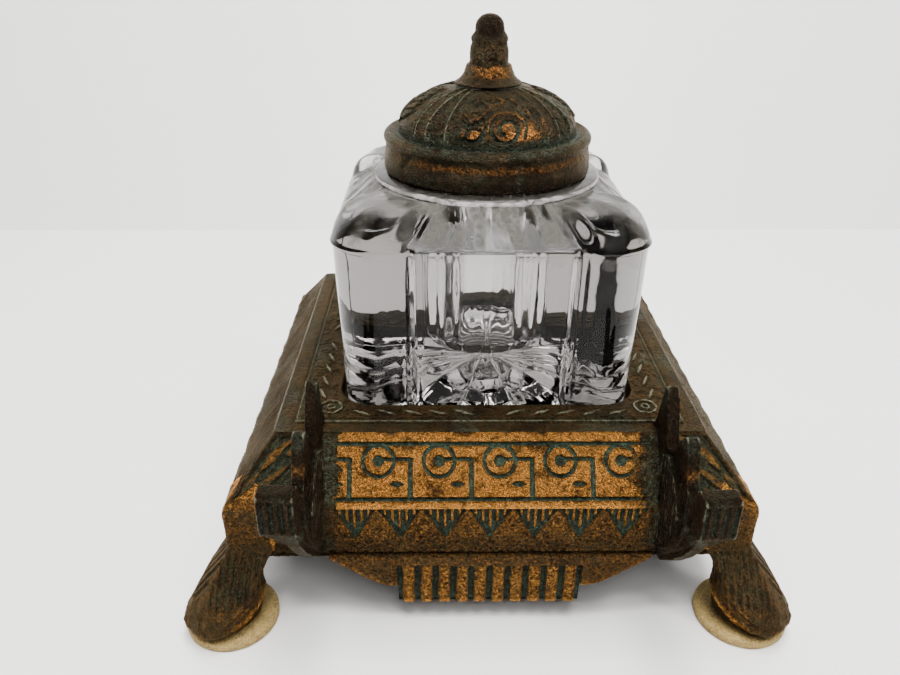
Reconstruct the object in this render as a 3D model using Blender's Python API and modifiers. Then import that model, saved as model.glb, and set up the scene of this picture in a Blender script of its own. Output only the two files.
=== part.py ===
"""Square cast-metal inkwell with a pressed-glass bottle, a loose domed lid and two pen racks.

Blender 4.5, metres, +Z up. The stand is a truncated square pyramid over four slipper feet, so its
four sides share one slope. Everything is modelled about the bottle's upright axis, and an empty
carries that axis a little behind the origin, because the pen racks reach forward of the stand.
"""
import math

import bmesh
import bpy
from mathutils import Matrix, Vector

MM = 0.001
GAP = 0.3 * MM                      # clearance between two pieces that touch

# Frame: the origin is the middle of the footprint, on the surface that the pads stand on.
AXIS_Y = 3.75 * MM                  # the bottle's axis, behind the middle of the footprint

# Stand, as half widths (X, Y) at each height.
PLATE_HALF = (40.0 * MM, 37.3 * MM)
FOLD_HALF = (48.7 * MM, 46.0 * MM)
PLATE_Z = 38.5 * MM
FOLD_Z = 27.6 * MM
FASCIA_Z = 16.3 * MM                # lower edge of the upright fascia
WALL = 2.3 * MM
FIELD_HALF = (36.5 * MM, 33.9 * MM)
FIELD_Z = 39.0 * MM                 # ornamented field that stands proud of the plate's border

# Recess that keeps the bottle's foot in place.
RECESS_HALF = 28.9 * MM
RECESS_CORNER = 7.0 * MM
RECESS_Z = 35.7 * MM
TRAY_FLOOR = 2.2 * MM
TRAY_WALL = 2.4 * MM

# Aprons under the fascia: an ogee skirt with a reeded drop in the middle.
APRON_PROUD = 0.7 * MM
APRON_INSIDE = 0.4 * MM             # how far the apron stands inward of the wall behind it
APRON_SHOULDER_Z = 16.0 * MM
DRAFT = 0.15 * MM                   # taper of the apron's short edges
APRON_TOP_Z = 17.0 * MM
APRON_FROM_CORNER = 9.3 * MM        # room that each apron leaves for the corner's tab
OGEE_START = 30.0 * MM
OGEE_END = 20.3 * MM
OGEE_Z = 9.2 * MM
DROP_HALF = 17.4 * MM
DROP_Z = 5.0 * MM
SLOT_COUNT = 11
SLOT_PITCH = 3.42 * MM
SLOT_WIDTH = 1.1 * MM
SLOT_DEPTH = 0.9 * MM
SLOT_TOP_Z = 14.6 * MM

# Corner feet.
PAD_CENTER = (50.1 * MM, 45.2 * MM)
PAD_RADIUS = 8.9 * MM
PAD_THICKNESS = 2.0 * MM
TAB_PROUD = 0.75 * MM               # tab's outer face, out from the stand's side
TAB_APEX_Z = 30.8 * MM
TAB_APEX_ALONG = 2.3 * MM           # each apex, across from the corner's diagonal
TAB_DIP_Z = 28.3 * MM
TAB_HALF_WIDTH = 6.0 * MM
FOOT_TOP_Z = 19.0 * MM
FOOT_LEAN = (0.9 * MM, -1.2 * MM)   # how far a sole's middle stands from its corner's diagonal

# Pen racks: a stepped plate with a spike, a prong and a broad front block.
RACK_X = 30.9 * MM                  # inner face where it leaves the plate
RACK_THICKNESS = 2.2 * MM
RACK_SPLAY = math.radians(3.5)
RACK_BLOCK_WIDTH = 6.4 * MM
RACK_BLOCK_LAP = 0.3 * MM           # how far the block stands inward of the plate's inner face
RACK_LIFT = {"left": 0.6 * MM, "right": -0.6 * MM}

# Pressed-glass bottle.
BOTTLE_BASE_Z = 36.0 * MM
BOTTLE_BASE_HALF = 28.1 * MM
BOTTLE_SHOULDER_HALF = 29.6 * MM
BOTTLE_SHOULDER_Z = 70.4 * MM
BOTTLE_COLUMN_RADIUS = 9.0 * MM
BOTTLE_PANEL_HALF = 14.8 * MM       # half width of each flat middle panel
GROOVE_WIDTH = 1.3 * MM             # soft groove on each side of a panel
GROOVE_DEPTH = 0.9 * MM
RING_RADIUS = 22.5 * MM
RING_Z = 76.6 * MM
RING_TOP_Z = 77.8 * MM
NECK_RADIUS = 17.2 * MM
NECK_TOP_Z = 83.0 * MM
WELL_RADIUS = 12.6 * MM
WELL_FLOOR_Z = 43.5 * MM
MOUTH_RADIUS = 13.4 * MM

# Lid and finial.
LID_BASE_Z = 78.1 * MM
LID_LIP_Z = 84.3 * MM
LID_RADIUS = 20.6 * MM
DOME_RADIUS = 17.4 * MM
DOME_Z = 86.2 * MM
CROWN_RADIUS = 6.0 * MM
CROWN_Z = 93.9 * MM
LID_WALL = 2.0 * MM
STUD_RADIUS = 1.6 * MM
FINIAL_TOP_Z = 106.8 * MM

TURN_STEPS = 48

# Name and direction (X, Y) of each corner of the stand.
CORNERS = (("front_left", -1, -1), ("front_right", 1, -1), ("back_left", -1, 1), ("back_right", 1, 1))


def clear_scene():
    """Remove every object so that the model starts from an empty scene."""
    for thing in list(bpy.data.objects):
        bpy.data.objects.remove(thing, do_unlink=True)


def make_collection(name):
    """Add a collection under the scene's own."""
    collection = bpy.data.collections.new(name)
    bpy.context.scene.collection.children.link(collection)
    return collection


def make_material(name, color, roughness, metallic, transmission=0.0):
    """Principled material with one colour."""
    material = bpy.data.materials.new(name)
    material.use_nodes = True
    shader = material.node_tree.nodes["Principled BSDF"]
    shader.inputs["Base Color"].default_value = (*color, 1.0)
    shader.inputs["Roughness"].default_value = roughness
    shader.inputs["Metallic"].default_value = metallic
    shader.inputs["Transmission Weight"].default_value = transmission
    material.diffuse_color = (*color, 1.0)
    return material


def add_object(name, mesh, collection, axis):
    """Place a mesh in a collection, carried by the bottle's axis."""
    thing = bpy.data.objects.new(name, mesh)
    collection.objects.link(thing)
    thing.parent = axis
    return thing


def mesh_from(bm, name):
    """Turn a bmesh into a mesh with its faces pointing out."""
    bmesh.ops.recalc_face_normals(bm, faces=bm.faces)
    mesh = bpy.data.meshes.new(name)
    bm.to_mesh(mesh)
    bm.free()
    return mesh


def make_cutter(thing):
    """Show a cutting or guiding shape as a wire that never renders."""
    thing.hide_render = True
    thing.display_type = "WIRE"
    return thing


def combine(thing, other, operation, solver="EXACT"):
    """Boolean one object with another."""
    modifier = thing.modifiers.new(f"{operation.lower()}_{other.name}", "BOOLEAN")
    modifier.operation = operation
    modifier.solver = solver
    modifier.object = other


def shade_round(mesh, angle=35.0):
    """Smooth shading that keeps the sharp edges."""
    mesh.shade_smooth()
    mesh.set_sharp_from_angle(angle=math.radians(angle))


def stepped_block(name, levels):
    """Square block whose half widths change at each level, from (z, half x, half y) rows."""
    low, high = levels[0][0], levels[-1][0]
    bm = bmesh.new()
    bmesh.ops.create_cube(bm, size=1.0)
    bmesh.ops.scale(bm, vec=(1.0, 1.0, high - low), verts=bm.verts)
    bmesh.ops.translate(bm, vec=(0.0, 0.0, (high + low) / 2), verts=bm.verts)
    for z, _, _ in levels[1:-1]:
        everything = bm.verts[:] + bm.edges[:] + bm.faces[:]
        bmesh.ops.bisect_plane(bm, geom=everything, plane_co=(0.0, 0.0, z), plane_no=(0.0, 0.0, 1.0))
    for vert in bm.verts:
        _, half_x, half_y = min(levels, key=lambda level: abs(level[0] - vert.co.z))
        vert.co.x = math.copysign(half_x, vert.co.x)
        vert.co.y = math.copysign(half_y, vert.co.y)
    return mesh_from(bm, name)


def rounded_block(name, half_x, half_y, low, high, radius):
    """Upright block with rounded vertical edges."""
    bm = bmesh.new()
    bmesh.ops.create_cube(bm, size=1.0)
    bmesh.ops.scale(bm, vec=(2 * half_x, 2 * half_y, high - low), verts=bm.verts)
    bmesh.ops.translate(bm, vec=(0.0, 0.0, (high + low) / 2), verts=bm.verts)
    upright = [edge for edge in bm.edges if abs(edge.verts[0].co.z - edge.verts[1].co.z) > radius / 10]
    bmesh.ops.bevel(bm, geom=upright, offset=radius, segments=6, profile=0.5, affect="EDGES")
    return mesh_from(bm, name)


def turned(name, profile, collection, axis, steps=TURN_STEPS):
    """Turned solid from (radius, z) points that run down its outer side."""
    mesh = bpy.data.meshes.new(name)
    points = [(radius, 0.0, z) for radius, z in profile]
    edges = [(i, i + 1) for i in range(len(points) - 1)]
    mesh.from_pydata(points, edges, [])
    thing = add_object(name, mesh, collection, axis)
    screw = thing.modifiers.new("turn", "SCREW")
    screw.axis = "Z"
    screw.steps = steps
    screw.render_steps = steps
    screw.use_merge_vertices = True
    screw.merge_threshold = 0.01 * MM
    screw.use_smooth_shade = True
    return thing


def upright_plate(name, outline, thickness, collection):
    """Closed outline in (across, z), made a plate that stands on edge and is centred on Y."""
    curve = bpy.data.curves.new(name, "CURVE")
    curve.dimensions = "2D"
    curve.fill_mode = "BOTH"
    curve.extrude = thickness / 2
    spline = curve.splines.new("POLY")
    spline.points.add(len(outline) - 1)
    for point, (across, z) in zip(spline.points, outline):
        point.co = (across, z, 0.0, 1.0)
    spline.use_cyclic_u = True
    drawn = bpy.data.objects.new(name, curve)
    collection.objects.link(drawn)
    bpy.context.view_layer.update()
    evaluated = drawn.evaluated_get(bpy.context.evaluated_depsgraph_get())
    mesh = bpy.data.meshes.new_from_object(evaluated)
    bpy.data.objects.remove(drawn)
    bpy.data.curves.remove(curve)
    bm = bmesh.new()
    bm.from_mesh(mesh)
    bpy.data.meshes.remove(mesh)
    bmesh.ops.remove_doubles(bm, verts=bm.verts, dist=0.001 * MM)
    bmesh.ops.rotate(bm, matrix=Matrix.Rotation(math.pi / 2, 3, "X"), verts=bm.verts)
    return mesh_from(bm, name)


def arc(center, radius, start, end, count):
    """Points along an arc, with angles in degrees."""
    angles = [math.radians(start + (end - start) * i / count) for i in range(count + 1)]
    return [(center[0] + radius * math.cos(a), center[1] + radius * math.sin(a)) for a in angles]


def grown_body(name, growth, low):
    """The stand's outer envelope, without its aprons, enlarged on every side."""
    slope_run = FOLD_HALF[0] - PLATE_HALF[0]
    slope_rise = PLATE_Z - FOLD_Z
    slope = math.atan2(slope_run, slope_rise)
    fold_z = FOLD_Z + growth * math.tan(slope / 2)
    top_z = PLATE_Z + growth
    top_run = (top_z - fold_z) * math.tan(slope)
    fold = [half + growth for half in FOLD_HALF]
    top = [half - top_run for half in fold]
    levels = [(low, *fold), (fold_z, *fold), (top_z, *top)]
    return stepped_block(name, levels)


def apron_outline(end):
    """Skirt below the fascia, out to each end: shallow shoulders, an ogee and a square drop."""
    bend = 1.6 * MM
    ogee_slope = math.atan2(APRON_SHOULDER_Z - OGEE_Z, OGEE_START - OGEE_END)
    tangent = bend * math.tan(ogee_slope / 2)
    lower = arc((OGEE_END - tangent, OGEE_Z + bend), bend, -90 + math.degrees(ogee_slope), -90, 4)
    half = [(end, APRON_TOP_Z), (end, APRON_SHOULDER_Z + DRAFT)]
    half += [(OGEE_START, APRON_SHOULDER_Z), *lower]
    half += [(DROP_HALF, OGEE_Z + DRAFT), (DROP_HALF - DRAFT, DROP_Z)]
    return half + [(-across, z) for across, z in reversed(half)]


def build_stand(parts, cutters, axis, material):
    """Hollow casting: sloped body, fascia, bottle tray and four reeded aprons."""
    shell = stepped_block("stand", [(FASCIA_Z, *FOLD_HALF), (FOLD_Z, *FOLD_HALF), (PLATE_Z, *PLATE_HALF)])
    stand = add_object("stand", shell, parts, axis)
    stand.data.materials.append(material)

    slope = (FOLD_HALF[0] - PLATE_HALF[0]) / (PLATE_Z - FOLD_Z)
    ceiling_z = PLATE_Z - WALL
    inner_fold_z = FOLD_Z - 0.7 * MM
    inner = [half - WALL for half in FOLD_HALF]
    ceiling = [half - slope * (ceiling_z - inner_fold_z) for half in inner]
    hollow = stepped_block("hollow", [(0.0, *inner), (inner_fold_z, *inner), (ceiling_z, *ceiling)])
    combine(stand, make_cutter(add_object("hollow", hollow, cutters, axis)), "DIFFERENCE")

    field = stepped_block("field", [(ceiling_z + WALL / 2, *FIELD_HALF), (FIELD_Z, *FIELD_HALF)])
    combine(stand, make_cutter(add_object("field", field, cutters, axis)), "UNION")
    tray_half = RECESS_HALF + TRAY_WALL
    tray_top = PLATE_Z - WALL / 3
    tray = rounded_block("tray", tray_half, tray_half, RECESS_Z - TRAY_FLOOR, tray_top, RECESS_CORNER)
    combine(stand, make_cutter(add_object("tray", tray, cutters, axis)), "UNION")
    recess = rounded_block("recess", RECESS_HALF, RECESS_HALF, RECESS_Z, PLATE_Z + 5 * MM, RECESS_CORNER)
    combine(stand, make_cutter(add_object("recess", recess, cutters, axis)), "DIFFERENCE")

    thickness = WALL + APRON_PROUD + APRON_INSIDE
    for turn, side in enumerate(("front", "right", "back", "left")):
        fold = FOLD_HALF[(turn + 1) % 2]
        middle = fold + APRON_PROUD - thickness / 2
        spin = Matrix.Rotation(turn * math.pi / 2, 4, "Z")
        end = RACK_X - 2 * GAP if side == "front" else FOLD_HALF[turn % 2] - APRON_FROM_CORNER
        outline = apron_outline(end)
        apron_mesh = upright_plate(f"apron_{side}", outline, thickness, cutters)
        apron = add_object(f"apron_{side}", apron_mesh, cutters, axis)
        apron.matrix_local = spin @ Matrix.Translation((0.0, -middle, 0.0))
        combine(stand, make_cutter(apron), "UNION")
        slots = add_object(f"slots_{side}", slot_comb(f"slots_{side}"), cutters, axis)
        slots.matrix_local = spin @ Matrix.Translation((0.0, -(fold + APRON_PROUD), 0.0))
        combine(stand, make_cutter(slots), "DIFFERENCE")
    return stand


def slot_comb(name):
    """Row of upright slots cut in the apron's drop."""
    bm = bmesh.new()
    overrun = 1.0 * MM
    low, high = DROP_Z - overrun, SLOT_TOP_Z
    for index in range(SLOT_COUNT):
        across = (index - (SLOT_COUNT - 1) / 2) * SLOT_PITCH
        made = bmesh.ops.create_cube(bm, size=1.0)
        bmesh.ops.scale(bm, vec=(SLOT_WIDTH, 2 * SLOT_DEPTH, high - low), verts=made["verts"])
        bmesh.ops.translate(bm, vec=(across, 0.0, (low + high) / 2), verts=made["verts"])
    return mesh_from(bm, name)


def foot_section(z, front, half_width, back):
    """Eight points round a slipper foot at one height, in (out, along) about the stand's corner."""
    middle = (front + back) / 2
    shoulder = front - 0.32 * (front - middle)
    ring = [(front, 0.0), (shoulder, 0.75 * half_width), (middle, half_width), (back, 0.8 * half_width)]
    ring += [(back - 0.5 * MM, 0.0)]
    ring += [(out, -along) for out, along in reversed(ring[1:-1])]
    return [(out, along, z) for out, along in ring]


def foot_mesh(name):
    """Slipper foot that flares outward along the stand's diagonal, from a coarse cage."""
    base = PAD_THICKNESS + GAP
    rows = (
        (FOOT_TOP_Z, 1.0, 5.8, -6.5),
        (15.0 * MM, 4.0, 6.2, -6.5),
        (11.5 * MM, 6.6, 6.9, -6.0),
        (8.0 * MM, 8.4, 7.1, -5.4),
        (5.0 * MM, 10.5, 6.9, -5.0),
        (base + 1.2 * MM, 11.0, 6.6, -4.8),
        (base, 10.1, 6.0, -4.6),
    )
    bm = bmesh.new()
    crease = bm.edges.layers.float.new("crease_edge")
    rings = []
    for z, front, half_width, back in rows:
        points = foot_section(z, front * MM, half_width * MM, back * MM)
        rings.append([bm.verts.new(point) for point in points])
    for upper, lower in zip(rings, rings[1:]):
        for i in range(len(upper)):
            j = (i + 1) % len(upper)
            bm.faces.new((upper[i], lower[i], lower[j], upper[j]))
    bm.faces.new(rings[0])
    bm.faces.new(reversed(rings[-1]))
    for edge in bm.edges:
        if edge.verts[0] in rings[0] + rings[-1] and edge.verts[1] in rings[0] + rings[-1]:
            edge[crease] = 0.9
    return mesh_from(bm, name)


def sheared(lean, top):
    """Shear that moves height zero by the lean and leaves the top where it is."""
    shear = Matrix.Identity(4)
    for row in range(2):
        shear[row][2] = -lean[row] / top
        shear[row][3] = lean[row]
    return shear


def tab_outline():
    """Tab over the corner's fold, a lancet on each face and a dip at the corner, in (along, z)."""
    springing_z = FOLD_Z - 3.5 * MM
    steps = 6
    right = [(TAB_HALF_WIDTH, FOOT_TOP_Z - 2.5 * MM)]
    for i in range(steps + 1):
        t = i / steps
        along = TAB_HALF_WIDTH + (TAB_APEX_ALONG - TAB_HALF_WIDTH) * t ** 1.7
        right.append((along, springing_z + (TAB_APEX_Z - springing_z) * t))
    return right + [(0.0, TAB_DIP_Z)] + [(-along, z) for along, z in reversed(right)]


def build_legs(parts, cutters, axis, material):
    """Four corner feet, each with a lancet tab that laps the stand's corner."""
    blank_mesh = grown_body("body_blank", GAP, FASCIA_Z - GAP)
    blank = make_cutter(add_object("body_blank", blank_mesh, cutters, axis))
    foot_blank_mesh = grown_body("foot_blank", 1.4 * GAP, FASCIA_Z - 1.2 * GAP)
    foot_blank = make_cutter(add_object("foot_blank", foot_blank_mesh, cutters, axis))
    envelope_mesh = grown_body("tab_envelope", TAB_PROUD, FOOT_TOP_Z - 4 * MM)
    envelope = make_cutter(add_object("tab_envelope", envelope_mesh, cutters, axis))
    for name, side_x, side_y in CORNERS:
        corner = Vector((side_x * FOLD_HALF[0], side_y * FOLD_HALF[1], 0.0))
        diagonal = Matrix.Rotation(math.atan2(side_y, side_x), 4, "Z")
        place = Matrix.Translation(corner) @ diagonal
        tab_mesh = upright_plate(f"tab_{name}", tab_outline(), 30 * MM, cutters)
        tab_mesh.transform(Matrix.Rotation(math.pi / 2, 4, "Z"))
        leg = add_object(f"leg_{name}", tab_mesh, parts, axis)
        leg.matrix_local = place
        leg.data.materials.append(material)
        combine(leg, envelope, "INTERSECT")
        combine(leg, blank, "DIFFERENCE")
        foot_shape = foot_mesh(f"foot_{name}")
        lean = diagonal.inverted() @ Vector((side_x * FOOT_LEAN[0], side_y * FOOT_LEAN[1], 0.0))
        foot_shape.transform(sheared(lean, FOOT_TOP_Z))
        foot = add_object(f"foot_{name}", foot_shape, cutters, axis)
        foot.matrix_local = place
        smooth = foot.modifiers.new("soften", "SUBSURF")
        smooth.levels = 1
        smooth.render_levels = 1
        combine(foot, foot_blank, "DIFFERENCE")
        combine(leg, make_cutter(foot), "UNION", "MANIFOLD")
        shade_round(leg.data, 40.0)


def build_pads(parts, axis, material):
    """Round felt pads under the feet."""
    for name, side_x, side_y in CORNERS:
        bm = bmesh.new()
        bmesh.ops.create_cone(bm, cap_ends=True, segments=40, radius1=PAD_RADIUS, radius2=PAD_RADIUS,
                              depth=PAD_THICKNESS)
        pad = add_object(f"felt_pad_{name}", mesh_from(bm, f"felt_pad_{name}"), parts, axis)
        pad.location = (side_x * PAD_CENTER[0], side_y * PAD_CENTER[1], PAD_THICKNESS / 2)
        pad.data.materials.append(material)
        shade_round(pad.data)


def rack_outline():
    """Side profile of a pen rack in (forward, z): spike, notch, prong, notch, block, swept root."""
    points = [(33.0, 36.0), (35.2, 39.6), (37.7, 49.2), (38.2, 49.5), (38.9, 49.2), (41.6, 42.4)]
    points += arc((43.9, 42.6), 2.3, 185, 300, 5)[1:]
    points += [(48.9, 46.2), (49.6, 46.5), (50.4, 46.2), (52.6, 40.2)]
    points += arc((54.9, 40.4), 2.3, 185, 330, 5)[1:]
    points += [(57.4, 41.5), (60.9, 42.0), (60.9, 34.6)]
    points += [(59.2, 30.4), (56.2, 26.0), (52.3, 21.3), (47.6, 16.6), (44.0, 16.6)]
    return [(forward * MM, z * MM) for forward, z in points]


def build_racks(parts, cutters, axis, material):
    """Pen rack on each side of the front slope, its block thicker than its plate."""
    outline = rack_outline()
    block_outline = [(57.2, 28.6), (57.2, 42.4), (61.6, 42.4), (61.6, 34.3), (60.2, 31.0), (58.6, 28.6)]
    block_outline = [(forward * MM, z * MM) for forward, z in block_outline]
    for name, side in (("left", -1), ("right", 1)):
        lift = RACK_LIFT[name]
        splay = Matrix.Translation((side * RACK_X, -PLATE_HALF[1], lift))
        splay = splay @ Matrix.Rotation(side * RACK_SPLAY, 4, "Z")
        splay = splay @ Matrix.Translation((0.0, PLATE_HALF[1], 0.0))
        facing = Matrix.Rotation(-math.pi / 2, 4, "Z")
        plate = upright_plate(f"pen_rack_{name}", outline, RACK_THICKNESS, cutters)
        plate.transform(splay @ Matrix.Translation((side * RACK_THICKNESS / 2, 0.0, 0.0)) @ facing)
        rack = add_object(f"pen_rack_{name}", plate, parts, axis)
        rack.data.materials.append(material)
        block_mesh = upright_plate(f"block_{name}", block_outline, RACK_BLOCK_WIDTH, cutters)
        block_x = side * (RACK_BLOCK_WIDTH / 2 - RACK_BLOCK_LAP)
        block_mesh.transform(splay @ Matrix.Translation((block_x, 0.0, 0.0)) @ facing)
        block = make_cutter(add_object(f"block_{name}", block_mesh, cutters, axis))
        combine(rack, block, "UNION")
        keep = make_cutter(add_object(f"rack_fit_{name}", rack_fit(f"rack_fit_{name}"), cutters, axis))
        combine(rack, keep, "DIFFERENCE")


def rack_fit(name):
    """The stand's envelope with its raised field, enlarged by the clearance."""
    slope = (FOLD_HALF[0] - PLATE_HALF[0]) / (PLATE_Z - FOLD_Z)
    top_z = FIELD_Z + GAP
    side_gap = GAP * 1.3
    top_half = [half - slope * (top_z - PLATE_Z) + side_gap for half in PLATE_HALF]
    fold_half = [half + side_gap for half in FOLD_HALF]
    return stepped_block(name, [(5 * MM, *fold_half), (FOLD_Z, *fold_half), (top_z, *top_half)])


def bottle_ring(half, column_radius, groove, z, count):
    """Outline of the bottle at one height: flat panels, round corner columns, grooves between."""
    points = []
    for i in range(4 * count):
        quarter, step = divmod(i, count)
        angle = (step / count - 0.5) * math.pi / 2
        across = half * math.tan(angle)
        edge = half - column_radius
        if abs(across) > edge:
            corner = Vector((edge, math.copysign(edge, across)))
            ray = Vector((math.cos(angle), math.sin(angle)))
            along = corner.dot(ray)
            reach = along + math.sqrt(column_radius ** 2 - corner.length_squared + along ** 2)
            x, y = (reach * ray).xy
        else:
            x, y = half, across
        from_groove = (abs(across) - BOTTLE_PANEL_HALF) / GROOVE_WIDTH
        inset = groove * math.exp(-from_groove ** 2)
        turned_point = Matrix.Rotation(quarter * math.pi / 2, 2) @ Vector((x - inset, y))
        points.append((turned_point.x, turned_point.y, z))
    return points


def blend(first, second, share):
    """Points part of the way from one ring to another, heights included."""
    return [tuple(a + (b - a) * share for a, b in zip(p, q)) for p, q in zip(first, second)]


def round_ring(radius, z, count):
    """Circle with the same point count and start as a bottle ring."""
    points = []
    for i in range(4 * count):
        angle = (i / count - 0.5) * math.pi / 2
        points.append((radius * math.cos(angle), radius * math.sin(angle), z))
    return points


def build_bottle(parts, cutters, axis, material):
    """Square bottle lofted from its foot to a round neck, with a round ink well cut into it."""
    count = 20
    base_half, shoulder_half = BOTTLE_BASE_HALF, BOTTLE_SHOULDER_HALF
    edge_round = 0.8 * MM
    radius = BOTTLE_COLUMN_RADIUS
    shoulder = bottle_ring(shoulder_half, radius, GROOVE_DEPTH, BOTTLE_SHOULDER_Z, count)
    collar = round_ring(RING_RADIUS, RING_Z, count)
    rings = [
        bottle_ring(base_half - edge_round, radius, GROOVE_DEPTH - edge_round / 3, BOTTLE_BASE_Z, count),
        bottle_ring(base_half, radius, GROOVE_DEPTH, BOTTLE_BASE_Z + edge_round, count),
        shoulder,
        blend(shoulder, collar, 0.5),
        collar,
        round_ring(RING_RADIUS, RING_TOP_Z, count),
        round_ring(NECK_RADIUS, RING_TOP_Z, count),
        round_ring(NECK_RADIUS, NECK_TOP_Z, count),
    ]
    bm = bmesh.new()
    loops = [[bm.verts.new(point) for point in ring] for ring in rings]
    for lower, upper in zip(loops, loops[1:]):
        for i in range(len(lower)):
            j = (i + 1) % len(lower)
            bm.faces.new((lower[i], lower[j], upper[j], upper[i]))
    bm.faces.new(reversed(loops[0]))
    bm.faces.new(loops[-1])
    bottle = add_object("ink_bottle", mesh_from(bm, "ink_bottle"), parts, axis)
    bottle.data.materials.append(material)
    shade_round(bottle.data, 30.0)

    bowl_radius = 5.0 * MM
    bowl = arc((WELL_RADIUS - bowl_radius, WELL_FLOOR_Z + bowl_radius), bowl_radius, 0, -90, 5)
    well_profile = [(0.0, NECK_TOP_Z + 2 * MM), (MOUTH_RADIUS, NECK_TOP_Z + 2 * MM)]
    well_profile += [(MOUTH_RADIUS, BOTTLE_SHOULDER_Z), *bowl, (0.0, WELL_FLOOR_Z)]
    well = turned("well", well_profile, cutters, axis)
    combine(bottle, make_cutter(well), "DIFFERENCE")


def build_lid(parts, axis, material):
    """Domed lid: bead lip over an upright skirt, hollow inside, with a hole for the finial's stud."""
    hole = STUD_RADIUS + GAP
    dome = []
    dome_steps = 8
    for i in range(dome_steps + 1):
        t = i / dome_steps
        radius = CROWN_RADIUS + (DOME_RADIUS - CROWN_RADIUS) * math.sin(t * math.pi / 2) ** 1.04
        dome.append((radius, CROWN_Z + (DOME_Z - CROWN_Z) * t ** 1.55))
    lip = arc((LID_RADIUS - 1.2 * MM, LID_LIP_Z + 0.1 * MM), 1.2 * MM, 110, -20, 6)
    outer = [(hole, CROWN_Z), *dome, *lip, (LID_RADIUS - 0.5 * MM, LID_LIP_Z - 1.8 * MM),
             (LID_RADIUS, LID_BASE_Z + 0.8 * MM), (LID_RADIUS - 0.2 * MM, LID_BASE_Z)]
    skirt_inner = LID_RADIUS - LID_WALL
    inner = [(skirt_inner, LID_BASE_Z), (skirt_inner, LID_LIP_Z - 0.5 * MM)]
    inner += [(DOME_RADIUS - LID_WALL, DOME_Z - 1.0 * MM)]
    for radius, z in reversed(dome[:-1:2]):
        inner.append((max(radius - 0.55 * LID_WALL, hole + 1 * MM), z - LID_WALL))
    inner += [(hole, CROWN_Z - LID_WALL), (hole, CROWN_Z)]
    lid = turned("lid", outer + inner, parts, axis)
    lid.data.materials.append(material)


def build_finial(parts, axis, material):
    """Turned knob: flared foot, column, ring and round cap, with a riveted stud below."""
    top = FINIAL_TOP_Z
    foot_z = CROWN_Z + GAP
    cap = [(0.0, top), (1.3 * MM, top - 0.35 * MM), (2.35 * MM, top - 1.0 * MM), (2.85 * MM, top - 2.0 * MM)]
    cap += [(2.8 * MM, top - 2.9 * MM), (3.4 * MM, top - 3.6 * MM), (3.5 * MM, top - 4.3 * MM)]
    column = [(3.3 * MM, top - 4.7 * MM), (3.7 * MM, top - 5.3 * MM), (3.75 * MM, top - 8.5 * MM)]
    flare = [(4.4 * MM, top - 8.8 * MM), (4.7 * MM, top - 9.6 * MM), (5.3 * MM, top - 10.9 * MM)]
    flare += [(6.5 * MM, top - 11.9 * MM), (6.6 * MM, foot_z + 0.4 * MM), (6.2 * MM, foot_z)]
    under = CROWN_Z - LID_WALL - GAP
    stud = [(STUD_RADIUS, foot_z), (STUD_RADIUS, under), (2.9 * MM, under), (2.5 * MM, under - 0.8 * MM)]
    finial = turned("finial", cap + column + flare + stud + [(0.0, under - 1.2 * MM)], parts, axis, steps=32)
    finial.data.materials.append(material)


def main():
    """Build every piece of the inkwell."""
    clear_scene()
    parts = make_collection("inkwell")
    cutters = make_collection("inkwell_cutters")
    axis = bpy.data.objects.new("bottle_axis", None)
    axis.location = (0.0, AXIS_Y, 0.0)
    parts.objects.link(axis)

    bronze = make_material("cast_bronze", (0.36, 0.20, 0.08), 0.45, 0.9)
    dark_bronze = make_material("dark_bronze", (0.12, 0.09, 0.06), 0.5, 0.85)
    lid_bronze = make_material("lid_bronze", (0.16, 0.11, 0.06), 0.45, 0.9)
    glass = make_material("pressed_glass", (0.93, 0.92, 0.95), 0.03, 0.0, 1.0)
    felt = make_material("felt", (0.55, 0.42, 0.24), 0.95, 0.0)

    build_stand(parts, cutters, axis, bronze)
    build_legs(parts, cutters, axis, bronze)
    build_pads(parts, axis, felt)
    build_racks(parts, cutters, axis, dark_bronze)
    build_bottle(parts, cutters, axis, glass)
    build_lid(parts, axis, lid_bronze)
    build_finial(parts, axis, lid_bronze)


main()
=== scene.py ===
"""Looks for the square cast inkwell: relief castings, pressed glass, felt pads, light and camera.

Lengths are millimetres until a mesh is made, and x and y are counted from the bottle's axis.
"""
import math

import bmesh
import bpy
import numpy as np
from mathutils import Matrix, Vector


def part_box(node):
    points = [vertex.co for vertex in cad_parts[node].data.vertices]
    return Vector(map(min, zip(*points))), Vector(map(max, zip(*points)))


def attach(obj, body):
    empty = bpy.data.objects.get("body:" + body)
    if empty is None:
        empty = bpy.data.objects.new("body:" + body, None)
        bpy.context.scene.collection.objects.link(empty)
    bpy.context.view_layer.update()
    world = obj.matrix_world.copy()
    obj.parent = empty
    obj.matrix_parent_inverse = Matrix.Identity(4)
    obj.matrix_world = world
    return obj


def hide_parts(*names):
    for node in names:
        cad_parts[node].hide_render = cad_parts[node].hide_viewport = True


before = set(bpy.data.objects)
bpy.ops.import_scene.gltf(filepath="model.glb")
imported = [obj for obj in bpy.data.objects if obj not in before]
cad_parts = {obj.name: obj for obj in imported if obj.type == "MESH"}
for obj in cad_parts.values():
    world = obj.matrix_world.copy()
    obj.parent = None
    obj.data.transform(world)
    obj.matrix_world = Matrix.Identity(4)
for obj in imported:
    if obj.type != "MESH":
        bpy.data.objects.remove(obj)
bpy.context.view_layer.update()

MM = 0.001


def node_box(name):
    """Lowest and highest corner of a CAD node, in millimetres from the bottle's axis."""
    low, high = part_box(name)
    lid_low, lid_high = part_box("lid")
    middle = (lid_low + lid_high) / 2
    shift = Vector((middle.x, middle.y, 0.0))
    return np.array(low - shift) / MM, np.array(high - shift) / MM


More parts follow.
